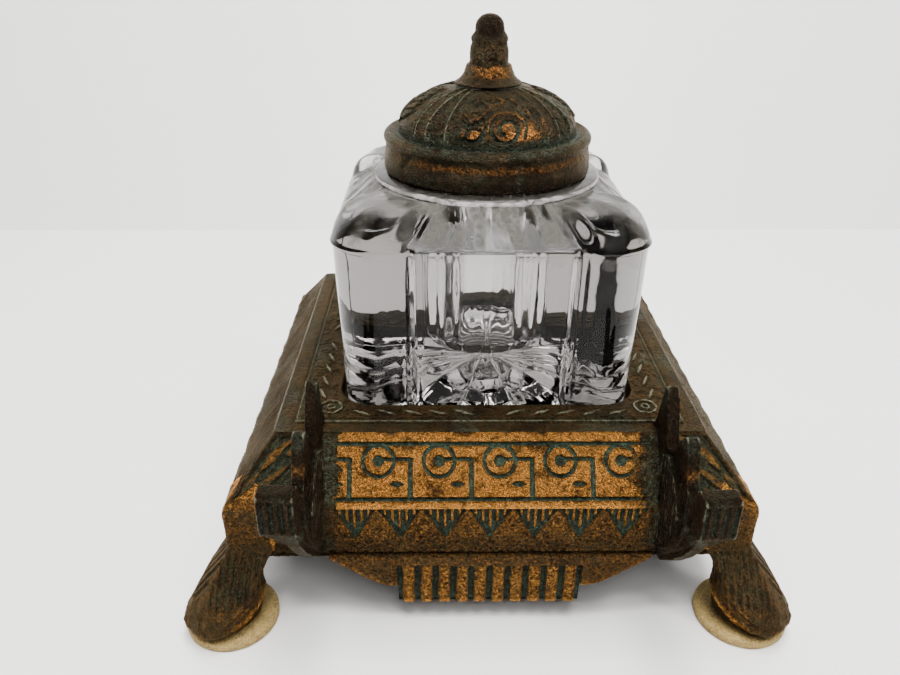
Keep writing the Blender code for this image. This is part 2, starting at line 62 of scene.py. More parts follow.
AXIS = (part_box("lid")[0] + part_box("lid")[1]) / 2
STAND_LOW, STAND_HIGH = node_box("stand")
BOTTLE_LOW, BOTTLE_HIGH = node_box("ink_bottle")
LID_LOW, LID_HIGH = node_box("lid")
FINIAL_LOW, FINIAL_HIGH = node_box("finial")
PAD_TOP = node_box("felt_pad_front_right")[1][2]

# Stand, outside in. Each half width is (across the front, front to back).
APRON_PROUD = 0.7
FOLD = (STAND_HIGH[0] - APRON_PROUD, STAND_HIGH[1] - APRON_PROUD)
SLOPE_RUN = 8.7
PLATE = (FOLD[0] - SLOPE_RUN, FOLD[1] - SLOPE_RUN)
PLATE_Z = STAND_HIGH[2] - 0.5
FOLD_Z = PLATE_Z - 10.9
SLOPE_LENGTH = math.hypot(SLOPE_RUN, PLATE_Z - FOLD_Z)
FASCIA_Z = FOLD_Z - 11.3
WALL = 2.3
OPENING = (29.2, 28.45)
RECESS_CORNER = 7.0
RECESS_Z = BOTTLE_LOW[2] - 0.3
HIP_ROUND = 0.9
DROP_Z = STAND_LOW[2]
DROP_HALF = 17.4

# Frieze on the front slope, by distance down from the plate's edge.
FRIEZE_TOP = 2.5
FRIEZE_END = 11.8
ROLL_START = 12.5
CELL_PITCH = 11.15
CELL_MIDDLE = 1.6
CELL_CENTER_S = 5.25
KEY_S = 4.95
KEY_REACH = 5.9
LEAF_S = 9.45
CELL_LINE = 0.38
PANEL_LEFT = -28.3
PANEL_RIGHT = 30.3
GROOVE = 0.55
TOOTH_PITCH = 8.27
TOOTH_DEPTH = 7.2
TOOTH_HALF = 3.95
PANEL_EDGE = 31.0


# ---------------------------------------------------------------- shaping helpers

def ramp(x, low, high):
    """Smooth step from 0 at low to 1 at high."""
    t = np.clip((x - low) / (high - low), 0.0, 1.0)
    return t * t * (3 - 2 * t)


def band(x, low, high, soft=0.12):
    """One between low and high, with soft edges."""
    return ramp(x, low - soft, low + soft) * (1 - ramp(x, high - soft, high + soft))


def disc(x, y, radius, soft=0.12):
    """One inside a circle about the origin."""
    return 1 - ramp(np.hypot(x, y), radius - soft, radius + soft)


def ring(x, y, inner, outer, soft=0.12):
    """One between two circles about the origin."""
    return band(np.hypot(x, y), inner, outer, soft)


def stroke(x, y, start, end, half, soft=0.12):
    """One along a straight stroke with round ends."""
    along = np.array(end, float) - np.array(start, float)
    t = ((x - start[0]) * along[0] + (y - start[1]) * along[1]) / (along @ along)
    t = np.clip(t, 0.0, 1.0)
    away = np.hypot(x - start[0] - t * along[0], y - start[1] - t * along[1])
    return 1 - ramp(away, half - soft, half + soft)


def leaf(x, y, length, width, soft=0.15):
    """One inside a pointed oval along x."""
    edge = width / 2 * (1 - np.clip(np.abs(x) / (length / 2), 0, 1) ** 2)
    return (1 - ramp(np.abs(y) - edge, -soft, soft)) * (np.abs(x) < length / 2 + soft)


def turned_by(x, y, angle):
    """Coordinates in axes turned by an angle in degrees."""
    c, s = math.cos(math.radians(angle)), math.sin(math.radians(angle))
    return c * x + s * y, -s * x + c * y


def noise(x, y, cell, seed):
    """Smooth value noise from -1 to 1, with one random value per cell."""
    size = 64
    values = np.random.default_rng(seed).uniform(-1, 1, (size, size))
    gx, gy = x / cell, y / cell
    ix, iy = np.floor(gx).astype(int), np.floor(gy).astype(int)
    fx, fy = gx - ix, gy - iy
    fx, fy = fx * fx * (3 - 2 * fx), fy * fy * (3 - 2 * fy)
    ix, iy, jx, jy = ix % size, iy % size, (ix + 1) % size, (iy + 1) % size
    low = values[ix, iy] * (1 - fx) + values[jx, iy] * fx
    high = values[ix, jy] * (1 - fx) + values[jx, jy] * fx
    return low * (1 - fy) + high * fy


def rough(x, y, cell, seed):
    """Three octaves of noise."""
    octaves = [noise(x, y, cell / 2 ** k, seed + k) * share for k, share in enumerate((0.57, 0.29, 0.14))]
    return octaves[0] + octaves[1] + octaves[2]


def highest(*layers):
    """Largest of several layers at each point."""
    found = layers[0]
    for layer in layers[1:]:
        found = np.maximum(found, layer)
    return found


def wave(x, pitch):
    """Cosine with a given pitch, 1 at the origin."""
    return np.cos(2 * math.pi * x / pitch)


def bell(x, center, width):
    """Smooth bump of height 1 about a value."""
    return np.exp(-((x - center) / width) ** 2)


def even_angles(count):
    """Angles once round a circle, without the last one."""
    return np.linspace(0, 2 * math.pi, count, endpoint=False)


def all_round(side, u, out, z):
    """Points from distances across and outward, each on its own side of a square plan."""
    x = np.select([side == 0, side == 1, side == 2], [u, out, -u], -out)
    y = np.select([side == 0, side == 1, side == 2], [-out, u, out], -u)
    return np.stack([x, y, np.broadcast_to(z, x.shape)], axis=-1)


def turned_out(faces, outward):
    """Faces as they are, or wound the other way."""
    return faces if outward else [face[::-1] for face in faces]


def ring_quads(rows, cols):
    """Quads between closed rows of vertices, each row above the last."""
    i = np.arange(rows - 1)[:, None] * cols
    j = np.arange(cols)[None, :]
    k = (j + 1) % cols
    quads = np.stack([i + j, i + k, i + cols + k, i + cols + j], axis=-1)
    return quads.reshape(-1, 4)


def make_piece(name, points, faces, material, body, nodes, layers, angle=None):
    """Mesh object from points in millimetres about the bottle's axis, riding on a body.

    It stands for the nodes, takes the slot's finish and is split at edges sharper than the angle.
    """
    mesh = bpy.data.meshes.new(name)
    world = np.asarray(points, float) * MM + np.array([AXIS.x, AXIS.y, 0.0])
    mesh.from_pydata(world.tolist(), [], [list(face) for face in faces])
    for key, values in layers.items():
        layer = mesh.attributes.new(key, "FLOAT", "POINT")
        layer.data.foreach_set("value", np.asarray(values, np.float32).ravel())
    mesh.shade_smooth()
    if angle is not None:
        mesh.set_sharp_from_angle(angle=math.radians(angle))
    piece = bpy.data.objects.new(name, mesh)
    bpy.context.scene.collection.objects.link(piece)
    mesh.materials.append(material)
    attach(piece, body)
    if nodes:
        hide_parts(*nodes)
    return piece


# ---------------------------------------------------------------- materials

def node_tree(name):
    """New material, its node tree, its main shader and the place of a point on the object."""
    material = bpy.data.materials.new(name)
    material.use_nodes = True
    tree = material.node_tree
    return material, tree, tree.nodes["Principled BSDF"], add(tree, "ShaderNodeTexCoord").outputs["Object"]


def feed(tree, node, inputs):
    """Give a node's inputs values or links."""
    for key, value in inputs.items():
        if isinstance(value, bpy.types.NodeSocket):
            tree.links.new(value, node.inputs[key])
        else:
            node.inputs[key].default_value = value


def add(tree, kind, inputs=None, **settings):
    """Add a node, set its properties and give its inputs values or links."""
    node = tree.nodes.new(kind)
    for key, value in settings.items():
        setattr(node, key, value)
    feed(tree, node, inputs or {})
    return node


def folded(operation):
    """Function that joins values with one kind of math node, from left to right."""
    def fold(tree, first, *others, clamp=False):
        for other in others:
            node = add(tree, "ShaderNodeMath", {0: first, 1: other}, operation=operation, use_clamp=clamp)
            first = node.outputs[0]
        return first
    return fold


times, plus, minus = folded("MULTIPLY"), folded("ADD"), folded("SUBTRACT")
higher, lower = folded("MAXIMUM"), folded("MINIMUM")


def step(tree, value, low, high, to_low=0.0, to_high=1.0):
    """Smooth step of a value between two levels."""
    inputs = {"Value": value, "From Min": low, "From Max": high, "To Min": to_low, "To Max": to_high}
    return add(tree, "ShaderNodeMapRange", inputs, interpolation_type="SMOOTHSTEP").outputs["Result"]


def mix_color(tree, factor, first, second):
    """Mix of two colours, each a link or three numbers."""
    colors = [(*color, 1.0) if isinstance(color, tuple) else color for color in (first, second)]
    node = add(tree, "ShaderNodeMix", data_type="RGBA")
    feed(tree, node, {0: factor, 6: colors[0], 7: colors[1]})
    return node.outputs[2]


def texture(tree, place, per_mm, detail, roughness=0.6, distortion=0.0):
    """Noise with a given number of features per millimetre."""
    inputs = {"Vector": place, "Scale": per_mm / MM, "Detail": detail, "Roughness": roughness}
    return add(tree, "ShaderNodeTexNoise", {**inputs, "Distortion": distortion}).outputs["Fac"]


def spots(tree, place, per_mm, low, high):
    """Round spots, one near each random point."""
    distance = add(tree, "ShaderNodeTexVoronoi", {"Vector": place, "Scale": per_mm / MM}).outputs["Distance"]
    return step(tree, distance, low, high, 1.0, 0.0)


def layer(tree, name):
    """Value that the mesh carries at each point."""
    return add(tree, "ShaderNodeAttribute", attribute_name=name).outputs["Fac"]


def bump(tree, height, strength, distance):
    """Normal bent by a height."""
    inputs = {"Height": height, "Strength": strength, "Distance": distance}
    return add(tree, "ShaderNodeBump", inputs).outputs["Normal"]


GOLD = (0.54, 0.240, 0.052)
COPPER = (0.110, 0.048, 0.013)
BROWN = (0.080, 0.047, 0.018)
OLIVE = (0.042, 0.033, 0.015)
SOOT = (0.008, 0.006, 0.004)
RUST = (0.075, 0.026, 0.009)
TEAL = (0.016, 0.030, 0.019)
PALE_TEAL = (0.062, 0.098, 0.066)
DUST = (0.205, 0.208, 0.140)


def make_bronze(name, gold=GOLD, mid=BROWN, dark=OLIVE, speckle=1.0, gloss=0.27):
    """Bronzed casting: worn bright where its wear layer says so, sooty where it is negative, patinated
    between; in places that layer also lays on painted highlights.

    Verdigris fills what the height layer has low, as far as teal says, and veils what film says.
    """
    material, tree, shader, place = node_tree(name)
    height, wear_and_highlight, teal, film = (layer(tree, key) for key in ("height", "wear_and_highlight", "teal", "film"))
    coarse = texture(tree, place, 0.12, 4.0)
    medium = texture(tree, place, 0.5, 5.0, 0.65)
    fine = texture(tree, place, 1.15, 4.0, 0.75)
    grain = texture(tree, place, 2.3, 3.0, 0.8)

    # Patina under everything, from dark olive to mid brown, with a reddish cast in places.
    patina = mix_color(tree, step(tree, medium, 0.36, 0.66), dark, mid)
    patina = mix_color(tree, step(tree, coarse, 0.46, 0.70, 0.0, 0.7), patina, SOOT)
    patina = mix_color(tree, step(tree, fine, 0.56, 0.74, 0.0, 0.6), patina, RUST)
    patina = mix_color(tree, step(tree, wear_and_highlight, 0.05, -0.30, 0.0, 0.9), patina, SOOT)

    # Worn metal where the casting is high, broken up by grain; where the layer carries a painted highlight,
    # this bright metal is that painted highlight.
    wear_and_highlight_sum = plus(tree, times(tree, wear_and_highlight, 1.35), fine, times(tree, medium, 0.75))
    worn = times(tree, step(tree, wear_and_highlight_sum, 1.28, 1.95), step(tree, height, 0.30, 0.80))
    sparkle = plus(tree, times(tree, grain, 0.65), times(tree, wear_and_highlight, 0.42))
    bright = mix_color(tree, step(tree, sparkle, 0.46, 0.74), COPPER, gold)
    bright = mix_color(tree, step(tree, medium, 0.50, 0.66, 0.0, 0.75), bright, mid)
    color = mix_color(tree, worn, patina, bright)

    # Dark red-brown pits, more of them where the wear is patchy.
    pits = times(tree, spots(tree, place, 1.1, 0.18, 0.36), step(tree, medium, 0.42, 0.60, 0.05, speckle))
    crowd = step(tree, coarse, 0.36, 0.62, 0.35, 0.95 * speckle)
    fine_pits = times(tree, spots(tree, place, 2.0, 0.20, 0.44), crowd)
    smooth = step(tree, wear_and_highlight, 0.45, 0.90, 1.0, 0.40)
    pitted = times(tree, higher(tree, pits, fine_pits), smooth)
    color = mix_color(tree, pitted, color, mix_color(tree, grain, SOOT, RUST))

    # Verdigris lies low, and as a thin film; the deepest cuts stay nearly black.
    low = step(tree, height, 0.58, 0.18)
    green = lower(tree, times(tree, low, teal, step(tree, medium, 0.22, 0.50, 0.45, 1.0)), 1.0)
    veil = plus(tree, times(tree, medium, 0.7), times(tree, fine, 0.5))
    veil = times(tree, film, step(tree, veil, 0.44, 0.72, 0.15, 1.0))
    green = higher(tree, green, lower(tree, veil, 1.0))
    green_color = mix_color(tree, step(tree, fine, 0.42, 0.70), TEAL, PALE_TEAL)
    green_color = mix_color(tree, step(tree, medium, 0.50, 0.66, 0.0, 0.7), green_color, SOOT)
    color = mix_color(tree, green, color, green_color)
    specks = times(tree, step(tree, grain, 0.54, 0.38, 0.0, 0.7), smooth)
    color = mix_color(tree, specks, color, SOOT)

    # Pale dust on thin raised lines, where the teal layer is above one.
    dusty = times(tree, step(tree, teal, 1.15, 1.8), step(tree, fine, 0.34, 0.62, 0.15, 1.0))
    color = mix_color(tree, dusty, color, DUST)

    metal = step(tree, worn, 0.0, 1.0, 0.80, 1.0)
    for cover, left in ((green, 0.05), (pitted, 0.3), (dusty, 0.2)):
        metal = times(tree, metal, step(tree, cover, 0.0, 1.0, 1.0, left))
    shine = plus(tree, step(tree, worn, 0.0, 1.0, gloss, 0.14), times(tree, fine, 0.22))
    shine = plus(tree, shine, times(tree, green, 0.25), clamp=True)
    relief = minus(tree, plus(tree, fine, times(tree, grain, 0.6)), pitted)
    feed(tree, shader, {"Base Color": color, "Metallic": metal, "Roughness": shine,
                        "Specular IOR Level": 0.22, "Specular Tint": (0.62, 0.55, 0.46, 1.0),
                        "Normal": bump(tree, relief, 1.0, 0.00065)})
    return material


def make_glass():
    """Clear pressed glass with a grey cast and slow waves, and dark grime where a layer says so; on the
    shoulders that grime is partly a painted reflection of the lid.
    """
    material, tree, shader, place = node_tree("pressed_glass_clear")
    waves = texture(tree, place, 0.09, 1.0, 0.4, 0.4)
    ripple = texture(tree, place, 0.5, 1.0, 0.4)
    tint = mix_color(tree, waves, (0.97, 0.965, 0.97), (0.99, 0.985, 0.985))
    frost_and_reflection = layer(tree, "frost_and_reflection")
    smear = plus(tree, step(tree, ripple, 0.45, 0.8, 0.0, 0.035), frost_and_reflection, clamp=True)
    relief = plus(tree, waves, times(tree, ripple, 0.08))
    feed(tree, shader, {"Base Color": tint, "Transmission Weight": 1.0, "IOR": 1.5, "Roughness": smear,
                        "Specular Tint": (0.25, 0.25, 0.25, 1.0), "Normal": bump(tree, relief, 0.25, 0.0012)})
    depth = add(tree, "ShaderNodeVolumeAbsorption", {"Color": (0.525, 0.513, 0.502, 1.0), "Density": 57.0})

    # Grime and rubbed bloom, broken into streaks; over the shoulders this dark veil also stands for a painted
    # reflection of the lid's bronze.
    streaks = texture(tree, place, 0.7, 5.0, 0.7)
    scuffs = texture(tree, place, 3.0, 3.0, 0.7)
    ground = mix_color(tree, scuffs, (0.050, 0.045, 0.036), (0.16, 0.155, 0.14))
    grime_and_reflection = add(tree, "ShaderNodeBsdfDiffuse", {"Color": ground, "Roughness": 0.6})
    cover = times(tree, frost_and_reflection, step(tree, streaks, 0.38, 0.64, 0.9, 3.2), clamp=True)
    both = add(tree, "ShaderNodeMixShader", {0: cover, 1: shader.outputs[0], 2: grime_and_reflection.outputs[0]})
    feed(tree, tree.nodes["Material Output"], {"Surface": both.outputs[0], "Volume": depth.outputs["Volume"]})
    return material


def make_felt():
    """Tan pressed felt with stray fibres, darker where dirt has settled."""
    material, tree, shader, place = node_tree("tan_felt")
    mottled = texture(tree, place, 0.28, 5.0, 0.65)
    fibres = texture(tree, place, 1.5, 6.0, 0.85, 1.6)
    color = mix_color(tree, step(tree, mottled, 0.35, 0.68), (0.47, 0.310, 0.090), (0.20, 0.120, 0.032))
    color = mix_color(tree, step(tree, fibres, 0.42, 0.60), color, (0.74, 0.52, 0.18))
    feed(tree, shader, {"Base Color": color, "Roughness": 0.95, "Sheen Weight": 0.03,
                        "Normal": bump(tree, fibres, 1.0, 0.0007)})
    return material


def make_paper(name, color, grain_color):
    """Matte pale surface for the table and the wall."""
    material, tree, shader, place = node_tree(name)
    grain = texture(tree, place, 0.02, 3.0)
    feed(tree, shader, {"Base Color": mix_color(tree, grain, color, grain_color), "Roughness": 0.45})
    return material


# ---------------------------------------------------------------- stand

def rounded_square(a, half_u, half_out, corner):
    """Point and outward direction on one side of a rounded rectangle, a from -1 to 1 between corners."""
    straight = half_u - corner
    reach = straight + corner * math.pi / 4
    along = a * reach
    angle = np.clip((np.abs(along) - straight) / corner, 0.0, math.pi / 4) * np.sign(along)
    flat = np.clip(along, -straight, straight)
    u = flat + corner * np.sin(angle)
    out = half_out - corner + corner * np.cos(angle)
    return u, out, np.sin(angle), np.cos(angle)


def frieze(u, s):
    """Front slope: chipped band, meander of broken rings and keys, and the roll above the fold."""
    h = np.zeros_like(u)
    inside = band(u, PANEL_LEFT, PANEL_RIGHT, 0.2)
    chips = 0.25 * np.clip(rough(u, s, 1.6, 11), 0, 1) + 0.35 * ramp(noise(u, s * 0, 3.1, 12), 0.35, 0.8)
    h -= chips * (1 - ramp(s, 0.2, 1.5)) * inside
    grooves = highest(band(s, 1.75, FRIEZE_TOP, 0.13), band(s, FRIEZE_END, ROLL_START, 0.13))
    in_frieze = band(s, FRIEZE_TOP, FRIEZE_END, 0.1)
    for i in range(-3, 3):
        center = CELL_MIDDLE + i * CELL_PITCH
        x, y = u - center, s - CELL_CENTER_S
        if center + KEY_REACH < PANEL_LEFT or center > PANEL_RIGHT:
            continue
        key = KEY_S - CELL_CENTER_S
        cut = np.zeros_like(u)
        if center > PANEL_LEFT + 2:
            cut = highest(ring(x, y, 2.45, 3.25), disc(x, y, 1.1), stroke(x, y, (0.5, key), (3.0, key), 0.36))
        cut = highest(cut, band(y, key - CELL_LINE, key + CELL_LINE) * band(x, 2.9, KEY_REACH),
                      band(x, KEY_REACH - 0.48, KEY_REACH + 0.48) * (s > KEY_S - 0.4),
                      0.9 * leaf(x - 3.4, s - LEAF_S, 2.9, 1.15))
        grooves = np.maximum(grooves, cut * in_frieze)
    soft_end = 1 - 0.55 * ramp(u, 24.0, 29.5)
    h -= GROOVE * grooves * inside * soft_end
    h += 0.10 * inside * in_frieze * bell(s, 6.8, 3.6)
    roll = np.clip(1 - ((s - 13.2) / 0.75) ** 2, 0, 1) ** 0.5
    h += 0.25 * roll * inside
    h -= 0.30 * (1 - inside)
    return h


def corner_leaves(u, s, half, side_sign):
    """Palmette outboard of a rack: a ring under the plate's corner and lobes along the hip."""
    x = side_sign * u
    hip = half - x
    lobes = np.zeros_like(u)
    for mid_hip, mid_s, angle, length, width in ((2.75, 4.3, 102, 6.2, 2.1), (1.75, 9.3, 97, 4.8, 1.5),
                                                 (4.9, 8.6, 122, 7.4, 1.9), (6.6, 11.2, 140, 3.4, 1.2)):
        px, py = turned_by(hip - mid_hip, s - mid_s, angle)
        lobes = np.maximum(lobes, leaf(px, py, length, width, 0.3))
    lobes = lobes * (0.75 + 0.25 * np.clip(1.5 + 2 * noise(hip, s, 0.9, 35), 0, 1))
    arch = ring(hip - 5.6, s - 3.4, 1.7, 2.7, 0.2) * (s < 4.2)
    lobes = highest(lobes, arch, disc(hip - 5.6, s - 3.5, 0.9, 0.2))
    zone = band(s, 0.7, 12.4, 0.2) * ramp(x, 30.8, 31.6) * ramp(hip, 0.5, 0.9)
    cut = zone * (1 - lobes)
    rays = 0.5 + 0.5 * wave(hip * 0.8 + s * 0.25 + 0.4 * noise(hip, s, 2.5, 36), 1.5)
    return -0.6 * cut * (1 - 0.45 * rays), lobes * zone


def feather(u, s, sign):
    """Side slope: long wavy reeds that climb from the front of the fold to the back of the plate."""
    across, along = turned_by(s, sign * u, math.degrees(0.36))
    wavy = across + 0.5 * noise(along, across, 7.0, 31) + 0.22 * noise(along, across, 2.6, 32)
    reeds = np.abs(np.sin(math.pi * wavy / 1.45)) ** 0.7
    deep = 0.35 + 0.65 * ramp(noise(along, across, 4.5, 33), -0.6, 0.5)
    h = -0.7 * (1 - reeds) * deep
    zone = band(s, 0.9, 12.6, 0.25)
    lumps = wave(u + 1.1 * noise(u, s * 0, 9.0, 34), TOOTH_PITCH) * 0.5 + 0.5
    return h * zone + 0.26 * (lumps - 0.55) * bell(s, SLOPE_LENGTH, 1.7)


def teeth(u, drop):
    """Hanging fluted triangles under the fold: depth, where a triangle is, and its ribs."""
    phase = (u + 0.2 + TOOTH_PITCH / 2) % TOOTH_PITCH - TOOTH_PITCH / 2
    edge = TOOTH_HALF * (1 - np.clip(drop / TOOTH_DEPTH, 0, 1)) - 0.05
    inside = (1 - ramp(np.abs(phase) - edge, -0.16, 0.16)) * (drop < TOOTH_DEPTH) * band(u, -28.6, 29.4, 0.3)
    ribs = np.clip(0.30 + wave(phase, 1.32), 0, 1) ** 0.8
    rib_end = 1 - ramp(drop - 0.62 * (TOOTH_DEPTH * (1 - np.abs(phase) / 4.0)), -0.35, 0.35)
    ribs = ribs * rib_end * band(np.abs(phase), -1, 3.3, 0.3)
    return -0.62 * inside * (1 - 0.92 * ribs), inside, ribs * inside


def stipple(u, v, seed, amount=0.22, cell=0.55):
    """Punched matte ground."""
    grain = noise(u, v, cell, seed)
    return -amount * ramp(grain, 0.0, 0.7) + amount * 0.4 * noise(u, v, cell / 2, seed + 1)


def plate_relief(x, y):
    """Top plate: engraved frame line, eyes at the corners and leaf strokes between."""
    h = 0.06 * rough(x, y, 1.4, 41)
    away = np.maximum(np.abs(x) - (PLATE[0] - 3.4), np.abs(y) - (PLATE[1] - 3.3))
    ridges = band(away, -0.32, 0.0, 0.12)
    grooves = highest(band(away, 0.05, 0.55, 0.15), band(away, -0.95, -0.45, 0.15))
    for side_x in (-1, 1):
        for side_y in (-1, 1):
            ex, ey = x - side_x * 30.4, y - side_y * 29.3
            ridges = highest(ridges, ring(ex, ey, 1.9, 2.35, 0.14), ring(ex, ey, 0.5, 0.95, 0.14))
            grooves = np.maximum(grooves, ring(ex, ey, 1.1, 1.75, 0.15))
    for turn in range(4):
        c, s = round(math.cos(turn * math.pi / 2)), round(math.sin(turn * math.pi / 2))
        across, out = c * x + s * y, s * x - c * y
        middle = 31.3 if turn % 2 == 0 else 32.7
        for i in (-5, -4, -3, -2, -1, 1, 2, 3, 4, 5):
            lx, ly = turned_by(across - i * 4.9, out - middle, -24 * np.sign(i))
            ridges = np.maximum(ridges, leaf(lx, ly, 5.0, 0.75, 0.2))
            grooves = np.maximum(grooves, 0.6 * (leaf(lx, ly, 5.8, 2.1, 0.3) - leaf(lx, ly, 5.2, 1.1, 0.3)))
    swirl = rough(x, y, 2.4, 42)
    field = 1 - ramp(away, -0.6, -0.3)
    h -= 0.2 * np.exp(-(swirl / 0.10) ** 2) * field
    h += 0.26 * ridges - 0.30 * np.clip(grooves, 0, 1)
    return h, ridges, grooves, field


def side_surface(kind, side, u, s, half):
    """Relief depth, wear, verdigris and film on one side's slope or fascia."""
    wear_and_highlight = np.full_like(u, 0.12)
    teal = np.full_like(u, 0.55)
    film = np.zeros_like(u)
    h = 0.05 * rough(u, s + 20 * side, 1.2, 51 + side)
    front = side == 0
    if kind == "slope" and side in (0, 2):
        h += frieze(u, s)
        ragged = u + 0.9 * noise(u, s, 1.7, 55) + 0.5 * noise(u, s, 0.8, 56)
        center = ramp(ragged, PANEL_LEFT - 0.5, PANEL_LEFT + 0.6) * (1 - ramp(ragged, 25.5, 30.0))
        patches = ramp(noise(u, s, 2.6, 57), -0.75, -0.1)
        wear_and_highlight = 0.18 + (0.72 if front else 0.35) * center * (0.55 + 0.45 * patches)
        # Brighter gold along the band's top edge and along the roll, on the front only: partly wear, partly a
        # painted highlight on these edges.
        wear_and_highlight += 0.20 * center * (bell(s, 0.9, 0.5) + bell(s, 13.2, 0.5)) * front
        teal = np.where(np.abs(u) < PANEL_EDGE, 1.0, 0.55)
        film = 0.75 * (1 - center) * (np.abs(u) < PANEL_EDGE) * band(s, 0.6, 13.5, 0.8)
        for sign in (-1, 1):
            corner, lobes = corner_leaves(u, s, half, sign)
            h += corner
            wear_and_highlight = np.maximum(wear_and_highlight, lobes * (0.98 if front else 0.45))
    elif kind == "slope":
        h += feather(u, s, 1 if side == 1 else -1)
        wear_and_highlight += 0.10 * ramp(h, -0.1, 0.2) - 0.22
        teal = 0.35 + 1.15 * ramp(h, -0.10, 0.02) * ramp(noise(u, s, 5.0, 61), -0.7, 0.4)
        film = 0.30 * ramp(noise(u, s, 6.0, 62), 0.0, 0.6)
    else:
        cut, inside, ribs = teeth(u, s)
        h += cut + stipple(u, s, 71) * (1 - inside) * ramp(s, 0.3, 3.0)
        h -= 0.35 * bell(s, 10.6, 0.28)
        wear_and_highlight = 0.54 - 0.12 * ramp(s, 4.0, 9.0) if front else np.full_like(u, 0.38)
        wear_and_highlight = wear_and_highlight - 0.5 * ramp(np.abs(u), 28.0, 31.0) + 0.16 * ribs
        teal = np.where(inside > 0.5, 1.0, 0.25)
        film = 0.6 * ramp(np.abs(u), 28.5, 30.5) * (np.abs(u) < 31.5) * ramp(noise(u, s, 2.5, 63), -0.5, 0.3)
    return h, wear_and_highlight, teal, film


